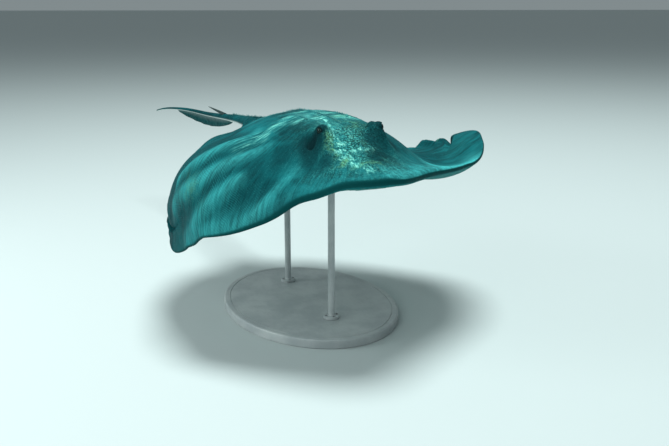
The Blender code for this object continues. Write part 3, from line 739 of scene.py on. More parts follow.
# ---- Skin: tail -----------------------------------------------------------------------------
# A whip that starts as wide as the disc's rear end and tapers to a point, with a thin dark keel
# of skin hanging under its middle. Its rings take over from the ring at the disc's end.
TAIL_LENGTH = 1.06
TAIL_ROOT_HEIGHT = 0.020
TAIL_PLACE = [0.0, 0.12, 0.27, 0.51, 0.67, 0.83, 0.97, 1.06]
TAIL_TO_RIGHT = [3, 3, 0, 1, 6, 9, 14, 17]
TAIL_RISE = [-0.5, -1.5, -4, -3.5, -1, -3, -6, -13]
TAIL_SIZE_PLACE = [0.0, 0.02, 0.05, 0.12, 0.27, 0.47, 0.77, 0.97, 1.06]
TAIL_HALF_WIDTH = [0.060, 0.046, 0.033, 0.021, 0.0145, 0.010, 0.0068, 0.0050, 0.0036]
TAIL_HALF_HEIGHT = [0.024, 0.023, 0.021, 0.016, 0.0125, 0.0095, 0.0068, 0.0050, 0.0036]
TAIL_JOIN = 0.06             # length over which its rings take over from the disc's end
TAIL_COLUMN = 6              # disc columns that run together into one column of the tail
KEEL_START = 0.25
KEEL_LENGTH = 0.62
KEEL_DEPTH = 0.042
KEEL_HALF_THICKNESS = 0.0008
KEEL_COLUMNS = 4             # columns of a ring each side that fold down into the keel
KEEL_SHAPE = (1.05, 0.6)     # powers that set where it is deepest and how blunt its ends are
KEEL_RIPPLE = (0.06, 70)     # share of its depth, and radians for each disc width
KEEL_WEDGE = 1.5             # how much thicker it is where it joins the tail
KEEL_TOP = 0.72              # where it leaves the tail, as a share of the half height
KEEL_STARTS_AT = 0.006       # depth at which it is fully its own shape
TAIL_LINE_STEPS = 400
TAIL_ROUNDS = 0.07           # length over which the flat root turns to a round tail
ROOT_EDGES = 0.6             # how much sharper its left and right edges are at the root
UNDER_FLATTER = 0.25         # how much flatter the underside is
TAIL_STEPS = (0.15, 40, 190)                 # end of the finer rings, and rings before and after
FULL_TURN = 6.283            # radians round a ring
TAIL_TO_RIM = 0.2            # metres: the tail has no dark edge
TAIL_SHADE = 0.75
TAIL_UNDER = (0.05, 0.40)    # depths in a ring, over its half height, between which it turns white
TAIL_TOP = (0.3, 0.7)        # heights between which prickles begin
TAIL_PRICKLES_FADE = (0.34, 0.24)
ROOT_PRICKLES = 0.5          # half width of their band on the first ring, as a share of it
KEEL_DARK = (-0.275, 0.225)  # levels between which a ring turns from tail to keel
TAIL_BAND = (0.45, 0.1)      # side and width of the tail's strip on the flat plan


def tail_line(along):
    """Middle line of the tail and the direction across it, at each distance along."""
    fine = np.linspace(0, TAIL_LENGTH, TAIL_LINE_STEPS)
    side = -np.radians(curve(TAIL_PLACE, TAIL_TO_RIGHT, fine))
    rise = np.radians(curve(TAIL_PLACE, TAIL_RISE, fine))
    ahead = np.stack([np.sin(side) * np.cos(rise), np.cos(side) * np.cos(rise), np.sin(rise)], -1)
    steps = (ahead[1:] + ahead[:-1]) / 2 * fine[1]
    path = np.concatenate([np.zeros((1, 3)), np.cumsum(steps, axis=0)])
    path += np.array([0, SPINE_REAR, TAIL_ROOT_HEIGHT])
    centre = np.stack([np.interp(along, fine, path[:, k]) for k in range(3)], -1)
    heading = np.interp(along, fine, side)
    across = np.stack([np.cos(heading), -np.sin(heading), np.zeros_like(heading)], -1)
    return centre, across


def disc_end_ring():
    """Rear end of the disc as a closed ring: shares out, side and half, left rim first."""
    up = np.linspace(0, 1, UPPER_STEPS + 1)
    down = np.linspace(0, 1, LOWER_STEPS + 1)
    legs = [(up[:0:-1], 1, True), (up[:-1], -1, True), (down[:0:-1], -1, False),
            (down[:-1], 1, False)]
    out = np.concatenate([leg for leg, _, _ in legs])
    side = np.concatenate([np.full(len(leg), sign) for leg, sign, _ in legs])
    upper = np.concatenate([np.full(len(leg), half) for leg, _, half in legs])
    return out, side, upper


ring_out, ring_side, ring_upper = disc_end_ring()
end_ring = skin_points(np.ones(len(ring_out)), ring_out, ring_side, ring_upper)
ring_reach = flat_place(np.ones(len(ring_out)), ring_out)[0] / OUTLINE[-1][0]
ring_turns = []              # of each column: evenly spaced, then as wide as the disc's end
for turn_of in ((1 - ring_out) * math.pi / 2, np.arccos(np.clip(ring_reach, 0, 1))):
    turn_of = np.where(ring_upper, turn_of, -turn_of)
    ring_turns.append(np.where(ring_side > 0, turn_of, math.pi - turn_of) % (2 * math.pi))
columns = np.arange(0, len(ring_out), TAIL_COLUMN)
tail_along = np.concatenate([np.linspace(0, TAIL_STEPS[0], TAIL_STEPS[1]),
                             np.linspace(TAIL_STEPS[0], TAIL_LENGTH, TAIL_STEPS[2])[1:]])


def keel_depth(along):
    share = np.clip((along - KEEL_START) / KEEL_LENGTH, 0, 1)
    return KEEL_DEPTH * np.sin(math.pi * share ** KEEL_SHAPE[0]) ** KEEL_SHAPE[1]


def tail_ring(along):
    """Points of one ring of the tail, their height in it, and how far each is down the keel."""
    centre, across = tail_line(np.array([along]))
    centre, across = centre[0], across[0]
    mix = ramp(along, 0, TAIL_ROUNDS)
    turn = ring_turns[1][columns] * (1 - mix) + ring_turns[0][columns] * mix
    half_width = curve(TAIL_SIZE_PLACE, TAIL_HALF_WIDTH, along)
    half_height = curve(TAIL_SIZE_PLACE, TAIL_HALF_HEIGHT, along)
    sideways = half_width * np.cos(turn)
    power = 1 + ROOT_EDGES * (1 - mix)
    rise = half_height * np.sign(np.sin(turn)) * np.abs(np.sin(turn)) ** power
    rise = np.where(np.sin(turn) < 0, rise * (1 - UNDER_FLATTER * mix), rise)
    depth = keel_depth(along)
    step = np.round((turn - 1.5 * math.pi) / (2 * math.pi / len(columns)))
    level = 1 - np.abs(step) / KEEL_COLUMNS
    ripple = KEEL_RIPPLE[0] * depth * math.sin(along * KEEL_RIPPLE[1]) * np.clip(level, 0, 1) ** 2
    blade_side = np.sign(step) * KEEL_HALF_THICKNESS * (1 + KEEL_WEDGE * (1 - level)) + ripple
    blade_rise = -half_height * KEEL_TOP - depth * level
    shown = ramp(depth, 0, KEEL_STARTS_AT) * (level >= 0)
    sideways = sideways * (1 - shown) + blade_side * shown
    rise = rise * (1 - shown) + np.minimum(rise, blade_rise) * shown
    ring = centre + sideways[:, None] * across
    ring[:, 2] += rise
    posed = place(*ring.T)
    if along < TAIL_JOIN:
        straight = end_ring[columns] + np.array([0, along * DISC_WIDTH, 0])
        share = ramp(along, 0, TAIL_JOIN)
        posed = straight * (1 - share) + posed * share
    return posed, rise / half_height, shown * ramp(level, *KEEL_DARK)


tail_points = [end_ring]
tail_rays = [np.stack([np.zeros(len(end_ring)), ring_turns[1] / FULL_TURN], -1)]
tail_under = [np.where(ring_upper, 0.0, 1.0)]
tail_keel = [np.zeros(len(end_ring))]
tail_top = [np.where(ring_upper, 1.0, 0.0) * bump(ring_reach / ROOT_PRICKLES)]
for along in tail_along[1:]:
    ring, rise, keel = tail_ring(along)
    tail_points.append(ring)
    around = ring_turns[0][columns] / FULL_TURN
    tail_rays.append(np.stack([np.full(len(ring), along * DISC_WIDTH), around], -1))
    tail_under.append(ramp(-rise, *TAIL_UNDER) * (1 - keel))
    tail_keel.append(keel)
    tail_top.append(ramp(rise, *TAIL_TOP) * ramp(along, *TAIL_PRICKLES_FADE))
tail_faces = []
first = len(end_ring)
count = len(columns)
for k in range(count):
    fine = [(k * TAIL_COLUMN + n) % first for n in range(TAIL_COLUMN + 1)]
    tail_faces.append(fine + [first + (k + 1) % count, first + k])
for j in range(len(tail_along) - 2):
    for k in range(count):
        a, b = first + j * count + k, first + j * count + (k + 1) % count
        tail_faces.append([a, b, b + count, a + count])
last = first + (len(tail_along) - 2) * count
tail_faces.append(list(range(last, last + count)))
along_around = np.concatenate(tail_rays)
add_skin(np.concatenate(tail_points), tail_faces, along_around.T,
         (TAIL_BAND[0] + TAIL_BAND[1] * along_around[:, 1],
          PLAN_TAIL[0] + PLAN_TAIL[1] * along_around[:, 0]),
         underside=np.concatenate(tail_under), to_rim=TAIL_TO_RIM, tail=1.0, shade=TAIL_SHADE,
         keel=np.concatenate(tail_keel), prickles=np.concatenate(tail_top))


# ---- Skin: pelvic fins ----------------------------------------------------------------------
# A soft rounded lobe each side of the tail's root, thin at its rear edge. Each grows out from
# under the disc, so its front end is buried in it.
PELVIC_CENTRE = (0.046, 0.850, -0.004)
PELVIC_HALF_SIZE = (0.027, 0.058, 0.0036)
PELVIC_STEPS = (48, 20)
PELVIC_WIDENS = 0.25         # shares by which it widens and thins toward its rear edge
PELVIC_THINS = 0.45
PELVIC_DROP = 0.006
PELVIC_RIPPLE = (0.0008, 9)  # height, and radians for each half width
PELVIC_UNDER = (-0.2, 0.3)   # depths, over its half thickness, between which it turns white
PELVIC_SHADE = 0.8
PELVIC_EDGE = 0.03           # metres that its middle counts as being from its rim
SEAM = 0.00003               # metres: corner points of the skin that are closer become one

for sign in (1, -1):
    lobe = bmesh.new()
    bmesh.ops.create_uvsphere(lobe, u_segments=PELVIC_STEPS[0], v_segments=PELVIC_STEPS[1],
                              radius=1)
    unit = np.array([vert.co for vert in lobe.verts])
    lobe_faces = [[vert.index for vert in face.verts] for face in lobe.faces]
    lobe.free()
    reach = PELVIC_CENTRE[0] + PELVIC_HALF_SIZE[0] * unit[:, 0] * (1 + PELVIC_WIDENS * unit[:, 1])
    back = PELVIC_CENTRE[1] + PELVIC_HALF_SIZE[1] * unit[:, 1]
    up = PELVIC_CENTRE[2] + PELVIC_HALF_SIZE[2] * unit[:, 2] * (1 - PELVIC_THINS * unit[:, 1])
    ripple = PELVIC_RIPPLE[0] * np.sin(unit[:, 0] * PELVIC_RIPPLE[1])
    up += ripple * ramp(unit[:, 1], 0, 1) - PELVIC_DROP * unit[:, 1]
    add_skin(place(sign * reach, back, up), lobe_faces, (reach * DISC_WIDTH, back * DISC_WIDTH),
             plan_place(reach * sign, back), underside=ramp(-unit[:, 2], *PELVIC_UNDER),
             shade=PELVIC_SHADE, to_rim=PELVIC_EDGE * (1 - np.hypot(unit[:, 0], unit[:, 1])))


def add_object(name, data):
    """New object in the scene, for a mesh, lamp or camera."""
    obj = bpy.data.objects.new(name, data)
    bpy.context.scene.collection.objects.link(obj)
    return obj


def store(mesh, name, kind, values):
    """Keep a number or a direction for each corner point of a mesh."""
    layer = mesh.attributes.new(name, kind, "POINT")
    field = "value" if kind == "FLOAT" else "vector"
    layer.data.foreach_set(field, np.asarray(values, np.float32).ravel())


skin_mesh = bpy.data.meshes.new("skin")
skin_mesh.from_pydata(np.concatenate(skin_places).tolist(), [], skin_faces)
for name, values in skin_marks.items():
    store(skin_mesh, name, "FLOAT", np.concatenate(values))
corner_points = np.zeros(len(skin_mesh.loops), np.int32)
skin_mesh.loops.foreach_get("vertex_index", corner_points)
for name, values in (("fin_rays", skin_rays), ("plan", skin_plan)):
    layer = skin_mesh.uv_layers.new(name=name)
    layer.data.foreach_set("uv", np.concatenate(values)[corner_points].astype(np.float32).ravel())
sewn = bmesh.new()
sewn.from_mesh(skin_mesh)
bmesh.ops.remove_doubles(sewn, verts=sewn.verts, dist=SEAM)
bmesh.ops.recalc_face_normals(sewn, faces=sewn.faces)
bmesh.ops.triangulate(sewn, faces=[face for face in sewn.faces if len(face.verts) > 4])
sewn.to_mesh(skin_mesh)
sewn.free()
skin_mesh.shade_smooth()
skin = add_object("ray_skin", skin_mesh)


# ---- Skin: paint ----------------------------------------------------------------------------
# Thin glazes over a slate ground, wet-looking: streaks along the fin rays, sandy and dark mottling
# on the head, a dark edge, a white belly with a dusky margin and a dark keel. Painted highlights lie
# on the crests, the head's ridge and the leading edge; painted shade in the hollows, openings and
# wrinkle grooves, beside the eye turrets and over the lifted left wing, deepening edge and margin.
# the ground's tones; the dark one also serves for painted shade and the pale one for painted
# highlights
SLATE_DARK = (0.0022, 0.036, 0.042)
SLATE = (0.0055, 0.118, 0.130)
SLATE_PALE = (0.060, 0.440, 0.445)
# the head's own pale flecks, also its painted highlights; the next colour is its brightest painted
# highlight
CROWN_PALE = (0.130, 0.600, 0.530)
CROWN_HIGHLIGHT = (0.420, 0.920, 0.740)
SAND = (0.130, 0.340, 0.140)
MOTTLE_DARK = (0.0025, 0.017, 0.018)
# the ray's own dark edge, deepened by painted shade under the rim, and the keel's dark
EDGE_DARK = (0.0035, 0.058, 0.060)
BELLY_WHITE = (0.56, 0.63, 0.61)
BELLY_BLUSH = (0.50, 0.40, 0.37)
# the belly's dusky margin, widened by painted shade
BELLY_DUSK_AND_SHADE = (0.014, 0.190, 0.185)
# painted shade in openings and round the eyes
OPENING_SHADE = (0.003, 0.018, 0.021)
TIP_PALE = (0.20, 0.44, 0.42)
WET_TINT = (0.25, 0.88, 0.90)  # colour of the skin's sheen
WRINKLE_TURNS = 1380.0       # radians of wrinkle for each metre along a fin ray
RAY_LINE_TURNS = 520.0
WRINKLE_WANDER = (48.0, 7.0)  # radians that clouds and blotches add to the wrinkles
RAY_LINE_WANDER = 22.0
SKIN_SHEEN = 0.02
# heights of the fine relief in metres
WRINKLE_HEIGHT = 0.00014
RAY_LINE_HEIGHT = 0.00010
GRAIN_HEIGHT = 0.0007
BLOTCH_HEIGHT = 0.0016
GRANULE_HEIGHT = 0.0016


def new_material(name):
    """Empty material with its shader and output joined."""
    material = bpy.data.materials.new(name)
    material.use_nodes = True
    nodes = material.node_tree.nodes
    nodes.clear()
    shader = nodes.new("ShaderNodeBsdfPrincipled")
    output = nodes.new("ShaderNodeOutputMaterial")
    material.node_tree.links.new(shader.outputs["BSDF"], output.inputs["Surface"])
    return material, shader


def node(tree, kind, inputs=(), **settings):
    """Add a node, set its fields, and join or set its inputs, given as (socket, value)."""
    made = tree.nodes.new(kind)
    for field, value in settings.items():
        setattr(made, field, value)
    for socket, value in inputs:
        if isinstance(value, bpy.types.NodeSocket):
            tree.links.new(value, made.inputs[socket])
        elif isinstance(value, tuple) and made.inputs[socket].type == "RGBA":
            made.inputs[socket].default_value = (*value, 1)
        else:
            made.inputs[socket].default_value = value
    return made


def mark_of(tree, name):
    return node(tree, "ShaderNodeAttribute", attribute_name=name).outputs["Fac"]


def maths(tree, operation, *values):
    return node(tree, "ShaderNodeMath", list(enumerate(values)), operation=operation).outputs[0]


def times(tree, *values):
    """Product of any number of values."""
    product = values[0]
    for value in values[1:]:
        product = maths(tree, "MULTIPLY", product, value)
    return product


def plus(tree, first, second):
    return maths(tree, "ADD", first, second)


def rest_of(tree, share):
    """What a share leaves of one."""
    return maths(tree, "SUBTRACT", 1.0, share)


def between(tree, value, low, high, to_low=0.0, to_high=1.0):
    """Smooth step of a value from one range to another."""
    limits = [("Value", value), ("From Min", low), ("From Max", high), ("To Min", to_low),
              ("To Max", to_high)]
    return node(tree, "ShaderNodeMapRange", limits, interpolation_type="SMOOTHSTEP").outputs[0]


def blend(tree, share, first_colour, second_colour):
    """Mix of two colours by a share."""
    inputs = [(0, share), (6, first_colour), (7, second_colour)]
    return node(tree, "ShaderNodeMix", inputs, data_type="RGBA").outputs[2]


def noise(tree, where, scale, detail=4.0, roughness=0.6):
    inputs = [("Vector", where), ("Scale", scale), ("Detail", detail), ("Roughness", roughness)]
    return node(tree, "ShaderNodeTexNoise", inputs).outputs[0]


def stretched(tree, where, scale):
    """Places scaled by axis, so that noise read there is drawn out along the least scaled."""
    return node(tree, "ShaderNodeMapping", [("Vector", where), ("Scale", scale)]).outputs["Vector"]


def add_relief(tree, shader, height):
    """Fine relief of a surface, from its height in metres."""
    bumped = node(tree, "ShaderNodeBump", [("Distance", 1.0), ("Height", height)])
    tree.links.new(bumped.outputs["Normal"], shader.inputs["Normal"])


def paint_hide(name):
    """Paint of the ray's skin, which the thorns carry on over their own shape."""
    material, shader = new_material(name)
    tree = material.node_tree
    where = node(tree, "ShaderNodeTexCoord").outputs["Object"]
    rays = node(tree, "ShaderNodeAttribute", attribute_name="fin_rays").outputs["Vector"]
    ray_split = node(tree, "ShaderNodeSeparateXYZ", [("Vector", rays)])
    marks = {mark: mark_of(tree, mark) for mark in (*skin_marks, "tip")}
    above = rest_of(tree, marks["underside"])
    wing, crown = marks["wing"], marks["crown"]
    clouds = noise(tree, where, 8.0, 5.0)
    blotches = noise(tree, where, 60.0, 4.0, 0.65)
    grains = noise(tree, where, 430.0, 3.0)
    along_rays = stretched(tree, rays, (1.0, 0.14, 1.0))
    streaks = noise(tree, along_rays, 26.0, 6.0, 0.65)
    fibres = noise(tree, along_rays, 150.0, 4.0, 0.7)
    mottles = noise(tree, where, 44.0, 6.0, 0.72)
    granules = noise(tree, where, 240.0, 4.0, 0.75)
    brushed = noise(tree, stretched(tree, where, (1.0, 0.16, 1.0)), 120.0, 5.0, 0.7)

    # ground: dark to mid slate in clouds, and in streaks out on the wings
    tone = plus(tree, times(tree, streaks, wing), times(tree, clouds, rest_of(tree, wing)))
    tone = plus(tree, tone, times(tree, maths(tree, "SUBTRACT", fibres, 0.5), 0.60))
    colour = blend(tree, between(tree, tone, 0.36, 0.62), SLATE_DARK, SLATE)
    # painted highlights on crests, ridge and leading edge, broken up by streaks and blotches
    broken = between(tree, plus(tree, times(tree, streaks, wing), blotches), 0.35, 1.05, 0.25, 1.0)
    broken = times(tree, broken, between(tree, fibres, 0.36, 0.60, 0.60, 1.15))
    colour = blend(tree, times(tree, marks["light"], broken, 0.85), colour, SLATE_PALE)
    colour = blend(tree, between(tree, tone, 0.60, 0.80, 0.0, 0.28), colour, SLATE_PALE)
    # painted shade in the hollows, beside the turrets and over the lifted left wing
    colour = blend(tree, times(tree, marks["shade"], between(tree, mottles, 0.25, 0.6, 0.97, 0.78)),
                   colour, SLATE_DARK)
    # head: dark granules and sandy mottles over the slate
    bare = between(tree, marks["shade"], 0.2, 0.9, 1.0, 0.10)
    dark_spots = between(tree, granules, 0.52, 0.44)
    colour = blend(tree, times(tree, crown, dark_spots, between(tree, mottles, 0.30, 0.52, 0.4, 1.0)),
                   colour, MOTTLE_DARK)
    sandy = maths(tree, "MAXIMUM", marks["sand"], times(tree, crown, 0.13))
    sandy = times(tree, sandy, bare, between(tree, mottles, 0.42, 0.60))
    colour = blend(tree, times(tree, sandy, between(tree, granules, 0.38, 0.55)), colour, SAND)
    # the head's own pale flecks, with painted highlight strokes along its lit ridge and crests,
    # brightest in dashes
    flecks = times(tree, between(tree, granules, 0.54, 0.62), crown, bare)
    on_crown = between(tree, crown, 0.15, 0.40)
    stroke = plus(tree, times(tree, brushed, on_crown), times(tree, fibres, rest_of(tree, on_crown)))
    highlight_strokes = times(tree, between(tree, stroke, 0.49, 0.60), marks["streaks"])
    flecks_and_highlights = maths(tree, "MAXIMUM", times(tree, flecks, 0.75), highlight_strokes)
    colour = blend(tree, flecks_and_highlights, colour, CROWN_PALE)
    highlight_dashes = times(tree, between(tree, stroke, 0.54, 0.64), marks["streaks"], 0.8)
    colour = blend(tree, highlight_dashes, colour, CROWN_HIGHLIGHT)
    specks = between(tree, grains, 0.60, 0.70, 0.0, 0.25)
    colour = blend(tree, specks, colour, SLATE_PALE)

    # fine wrinkles across the fin rays, in patches: painted shade in their grooves and a painted
    # highlight on their crests
    wander = noise(tree, where, 10.0, 3.0, 0.5)
    phase = plus(tree, times(tree, ray_split.outputs["Y"], WRINKLE_TURNS),
                 times(tree, wander, WRINKLE_WANDER[0]))
    phase = plus(tree, phase, times(tree, blotches, WRINKLE_WANDER[1]))
    wrinkles = maths(tree, "SINE", phase)
    patchy = between(tree, noise(tree, where, 9.0, 4.0, 0.65), 0.42, 0.66)
    shown = times(tree, wing, above, patchy)
    groove_shade = times(tree, between(tree, wrinkles, 0.2, -1.0), shown, 0.22)
    colour = blend(tree, groove_shade, colour, SLATE_DARK)
    colour = blend(tree, times(tree, between(tree, wrinkles, 0.3, 1.0), shown, 0.13), colour,
                   SLATE_PALE)

    # dark edge and dusky belly margin, each partly painted shade; keel; painted shade in openings
    colour = blend(tree, between(tree, marks["to_rim"], 0.006, 0.001), colour, EDGE_DARK)
    frayed = plus(tree, marks["to_rim"], times(tree, clouds, 0.05))
    belly = blend(tree, between(tree, blotches, 0.5, 0.8, 0.0, 0.18), BELLY_WHITE, BELLY_BLUSH)
    belly = blend(tree, between(tree, frayed, 0.150, 0.085), belly, BELLY_DUSK_AND_SHADE)
    belly = blend(tree, between(tree, marks["to_rim"], 0.016, 0.004, 0.0, 0.5), belly, EDGE_DARK)
    colour = blend(tree, marks["underside"], colour, belly)
    keel_tone = blend(tree, between(tree, blotches, 0.4, 0.7), EDGE_DARK, SLATE_DARK)
    colour = blend(tree, marks["keel"], colour, keel_tone)
    colour = blend(tree, times(tree, marks["opening"], 0.97), colour, OPENING_SHADE)
    colour = blend(tree, times(tree, marks["tip"], 0.35), colour, TIP_PALE)
    tree.links.new(colour, shader.inputs["Base Color"])
    tree.links.new(between(tree, blotches, 0.3, 0.8, 0.48, 0.68), shader.inputs["Roughness"])
    shader.inputs["Specular IOR Level"].default_value = SKIN_SHEEN
    shader.inputs["Specular Tint"].default_value = (*WET_TINT, 1)

    # relief: wrinkles, faint lines along the fin rays, and grain
    line_phase = plus(tree, times(tree, ray_split.outputs["X"], RAY_LINE_TURNS),
                      times(tree, wander, RAY_LINE_WANDER))
    ray_lines = times(tree, maths(tree, "SINE", line_phase), rest_of(tree, marks["tail"]), wing)
    heights = [times(tree, wrinkles, shown, WRINKLE_HEIGHT),
               times(tree, ray_lines, RAY_LINE_HEIGHT), times(tree, grains, GRAIN_HEIGHT),
               times(tree, blotches, BLOTCH_HEIGHT), times(tree, granules, crown, GRANULE_HEIGHT)]
    relief = heights[0]
    for height in heights[1:]:
        relief = plus(tree, relief, height)
    add_relief(tree, shader, relief)
    return material


skin_mesh.materials.append(paint_hide("ray_hide"))
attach(skin, "root")
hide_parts("head", "trunk", "pectoral_fin_right", "pectoral_fin_left", "pelvic_fin_right",
            "pelvic_fin_left", "tail_base", "tail_middle", "tail_end", "tail_fold")


# ---- Thorns and prickles --------------------------------------------------------------------
# Tooth-like scales set in the hide: small prickles spread over the middle of the back and the
# root of the tail, one row of larger thorns down the midline, and a short row on each shoulder.
# Each leans back toward the tail. Sizes are in metres.
PRICKLE_SPACING = 0.0052
PRICKLE_SIZES = (0.0010, 0.0022)
PRICKLES_PER_SQUARE_METRE = 60000.0
PRICKLE_SEED = 4
THORN_SPACING = 0.0135
THORN_SIZES = (0.0048, 0.0076)
THORN_SEED = 9
THORN_SIDES = 6
THORN_LEAN = 0.75            # how far a tip reaches back, in thorn heights
THORN_HALF_WIDTH = 0.62      # half width of the foot, in thorn heights
BAKE_PATCH = 0.0015          # half width of a thorn's patch on the bake map
MIDLINE_START = 0.235
MIDLINE_END = 0.80
TAIL_ROW_END = 0.24
SHOULDER_ROW = (0.050, 0.315, 0.385)
FIRST_BACK_POINTS = 60       # points along a row
TAIL_ROW_SKIPS = 6           # of them left out at the root, where the row runs on from the back
ROW_STEP = 0.004             # over which a row's directions are measured, in disc widths
THORN_SINK = -0.12           # how deep a foot is sunk, in thorn heights
THORN_HOLLOW = 1.2           # how far its sides curve in


def grow_tree(name, **inputs):
    """Empty Geometry Nodes tree with its named inputs, which are returned by name."""
    tree = bpy.data.node_groups.new(name, "GeometryNodeTree")
    sockets = {}
    for label, kind in {"Geometry": "Geometry", **inputs, "Material": "Material"}.items():
        socket = tree.interface.new_socket(name=label.replace("_", " "), in_out="INPUT",
                                           socket_type="NodeSocket" + kind)
        sockets[socket.name] = socket.identifier
    tree.interface.new_socket(name="Geometry", in_out="OUTPUT", socket_type="NodeSocketGeometry")
    return tree, sockets, tree.nodes.new("NodeGroupInput").outputs


def finish_tree(tree, made, given):
    """Give what a tree has made its material, and send it out."""
    finished = node(tree, "GeometryNodeSetMaterial", [("Geometry", made.outputs[0]),
                                                      ("Material", given["Material"])])
    node(tree, "NodeGroupOutput", [("Geometry", finished.outputs[0])])


def thorn_tree(name, scattered):
    """Geometry Nodes that set thorns on a skin, scattered over it or spaced along a line."""
    tree, sockets, given = grow_tree(name, Spacing="Float", Density="Float", Smallest="Float",
                                     Largest="Float", Seed="Int")

    def named(attribute, kind):
        read = node(tree, "GeometryNodeInputNamedAttribute", [("Name", attribute)], data_type=kind)
        return read.outputs["Attribute"]

    def stored(geometry, attribute, value, kind, domain="POINT"):
        inputs = [("Geometry", geometry), ("Name", attribute), ("Value", value)]
        return node(tree, "GeometryNodeStoreNamedAttribute", inputs, data_type=kind,
                    domain=domain).outputs[0]

    if scattered:
        spread = [("Mesh", given["Geometry"]), ("Distance Min", given["Spacing"]),
                  ("Density Max", given["Density"]), ("Density Factor", named("prickles", "FLOAT")),
                  ("Seed", given["Seed"])]
        points = node(tree, "GeometryNodeDistributePointsOnFaces", spread,
                      distribute_method="POISSON")
        normal = points.outputs["Normal"]
        points = points.outputs["Points"]
    else:
        line = node(tree, "GeometryNodeMeshToCurve", [("Mesh", given["Geometry"])])
        spaced = node(tree, "GeometryNodeResampleCurve", [("Curve", line.outputs["Curve"]),
                                                          ("Length", given["Spacing"])],
                      mode="LENGTH")
        points = node(tree, "GeometryNodeCurveToPoints", [("Curve", spaced.outputs["Curve"])],
                      mode="EVALUATED").outputs["Points"]
        normal = named("facing", "FLOAT_VECTOR")

    # one thorn: a cone whose foot is sunk in the hide and whose tip leans back
    cone = node(tree, "GeometryNodeMeshCone",
                [("Vertices", THORN_SIDES), ("Side Segments", 3), ("Radius Bottom", THORN_HALF_WIDTH),
                 ("Radius Top", 0.0), ("Depth", 1.0)], fill_type="NGON")
    position = node(tree, "GeometryNodeInputPosition").outputs[0]
    at = node(tree, "ShaderNodeSeparateXYZ", [(0, position)])
    height = at.outputs["Z"]
    hollow = times(tree, height, maths(tree, "SUBTRACT", height, 1.0), THORN_HOLLOW)
    lean = times(tree, height, height, THORN_LEAN)
    shift_x = plus(tree, times(tree, at.outputs["X"], hollow), lean)
    shift_y = times(tree, at.outputs["Y"], hollow)
    shift = node(tree, "ShaderNodeCombineXYZ", [("X", shift_x), ("Y", shift_y), ("Z", THORN_SINK)])
    patch = node(tree, "ShaderNodeVectorMath",
                 [(0, position), ("Scale", BAKE_PATCH / THORN_HALF_WIDTH)], operation="SCALE")
    tipped = stored(cone.outputs["Mesh"], "tip", height, "FLOAT")
    patched = stored(tipped, "patch", patch.outputs["Vector"], "FLOAT_VECTOR")
    thorn = node(tree, "GeometryNodeSetPosition",
                 [("Geometry", patched), ("Offset", shift.outputs[0])])

    upright = node(tree, "FunctionNodeAlignRotationToVector", [("Vector", normal)], axis="Z")
    leaning = node(tree, "FunctionNodeAlignRotationToVector",
                   [("Rotation", upright.outputs[0]), ("Vector", (0.0, 1.0, 0.0))],
                   axis="X", pivot_axis="Z")
    size = node(tree, "FunctionNodeRandomValue", [(2, given["Smallest"]), (3, given["Largest"]),
                                                  ("Seed", given["Seed"])], data_type="FLOAT")
    planted = node(tree, "GeometryNodeInstanceOnPoints",
                   [("Points", points), ("Instance", thorn.outputs[0]),
                    ("Rotation", leaning.outputs[0]), ("Scale", size.outputs[1])])
    solid = node(tree, "GeometryNodeRealizeInstances", [("Geometry", planted.outputs[0])])
    bake_place = node(tree, "ShaderNodeVectorMath", [(0, named("plan", "FLOAT_VECTOR")),
                                                     (1, named("patch", "FLOAT_VECTOR"))],
                      operation="ADD")
    mapped = stored(solid.outputs[0], "OFBake", bake_place.outputs[0], "FLOAT2", "CORNER")
    smooth = node(tree, "GeometryNodeSetShadeSmooth", [("Geometry", mapped)])
    finish_tree(tree, smooth, given)
    return tree, sockets


def grown(name, mesh, tree, sockets, values):
    """Run a tree on a mesh and keep the result as a plain object."""
    obj = add_object(name, mesh)
    modifier = obj.modifiers.new("grow", "NODES")
    modifier.node_group = tree
    for label, value in values.items():
        modifier[sockets[label]] = value
    evaluated = obj.evaluated_get(bpy.context.evaluated_depsgraph_get())
    result = bpy.data.meshes.new_from_object(evaluated)
    obj.modifiers.remove(modifier)
    obj.data = result
    return obj


def on_back(across, back):
    """Point on the posed skin of the body, from its place on the flat plan."""
    side = np.where(across < 0, -1, 1)
    reach = np.abs(across)
    round_share = (back - SPINE_FRONT) / (SPINE_REAR - SPINE_FRONT)
    height = curve(RIM_PLACE, RIM_RADIUS, round_share)
    height = height + back_height(reach, back, np.full(reach.shape, WING_RUN))
    return place(*bend(reach, back, height, side))


def facing_of(ahead, across):
    """Unit directions straight up out of the skin."""
    facing = np.cross(across, ahead)
    facing /= np.linalg.norm(facing, axis=1)[:, None]
    return facing * np.sign(facing[:, 2:])


thorn_paint = paint_hide("thorn_enamel")
prickle_tree, prickle_sockets = thorn_tree("prickle coat", True)
prickles = grown("prickles", skin_mesh.copy(), prickle_tree, prickle_sockets,
                 {"Spacing": PRICKLE_SPACING, "Density": PRICKLES_PER_SQUARE_METRE,
                  "Smallest": PRICKLE_SIZES[0], "Largest": PRICKLE_SIZES[1],
                  "Seed": PRICKLE_SEED, "Material": thorn_paint})

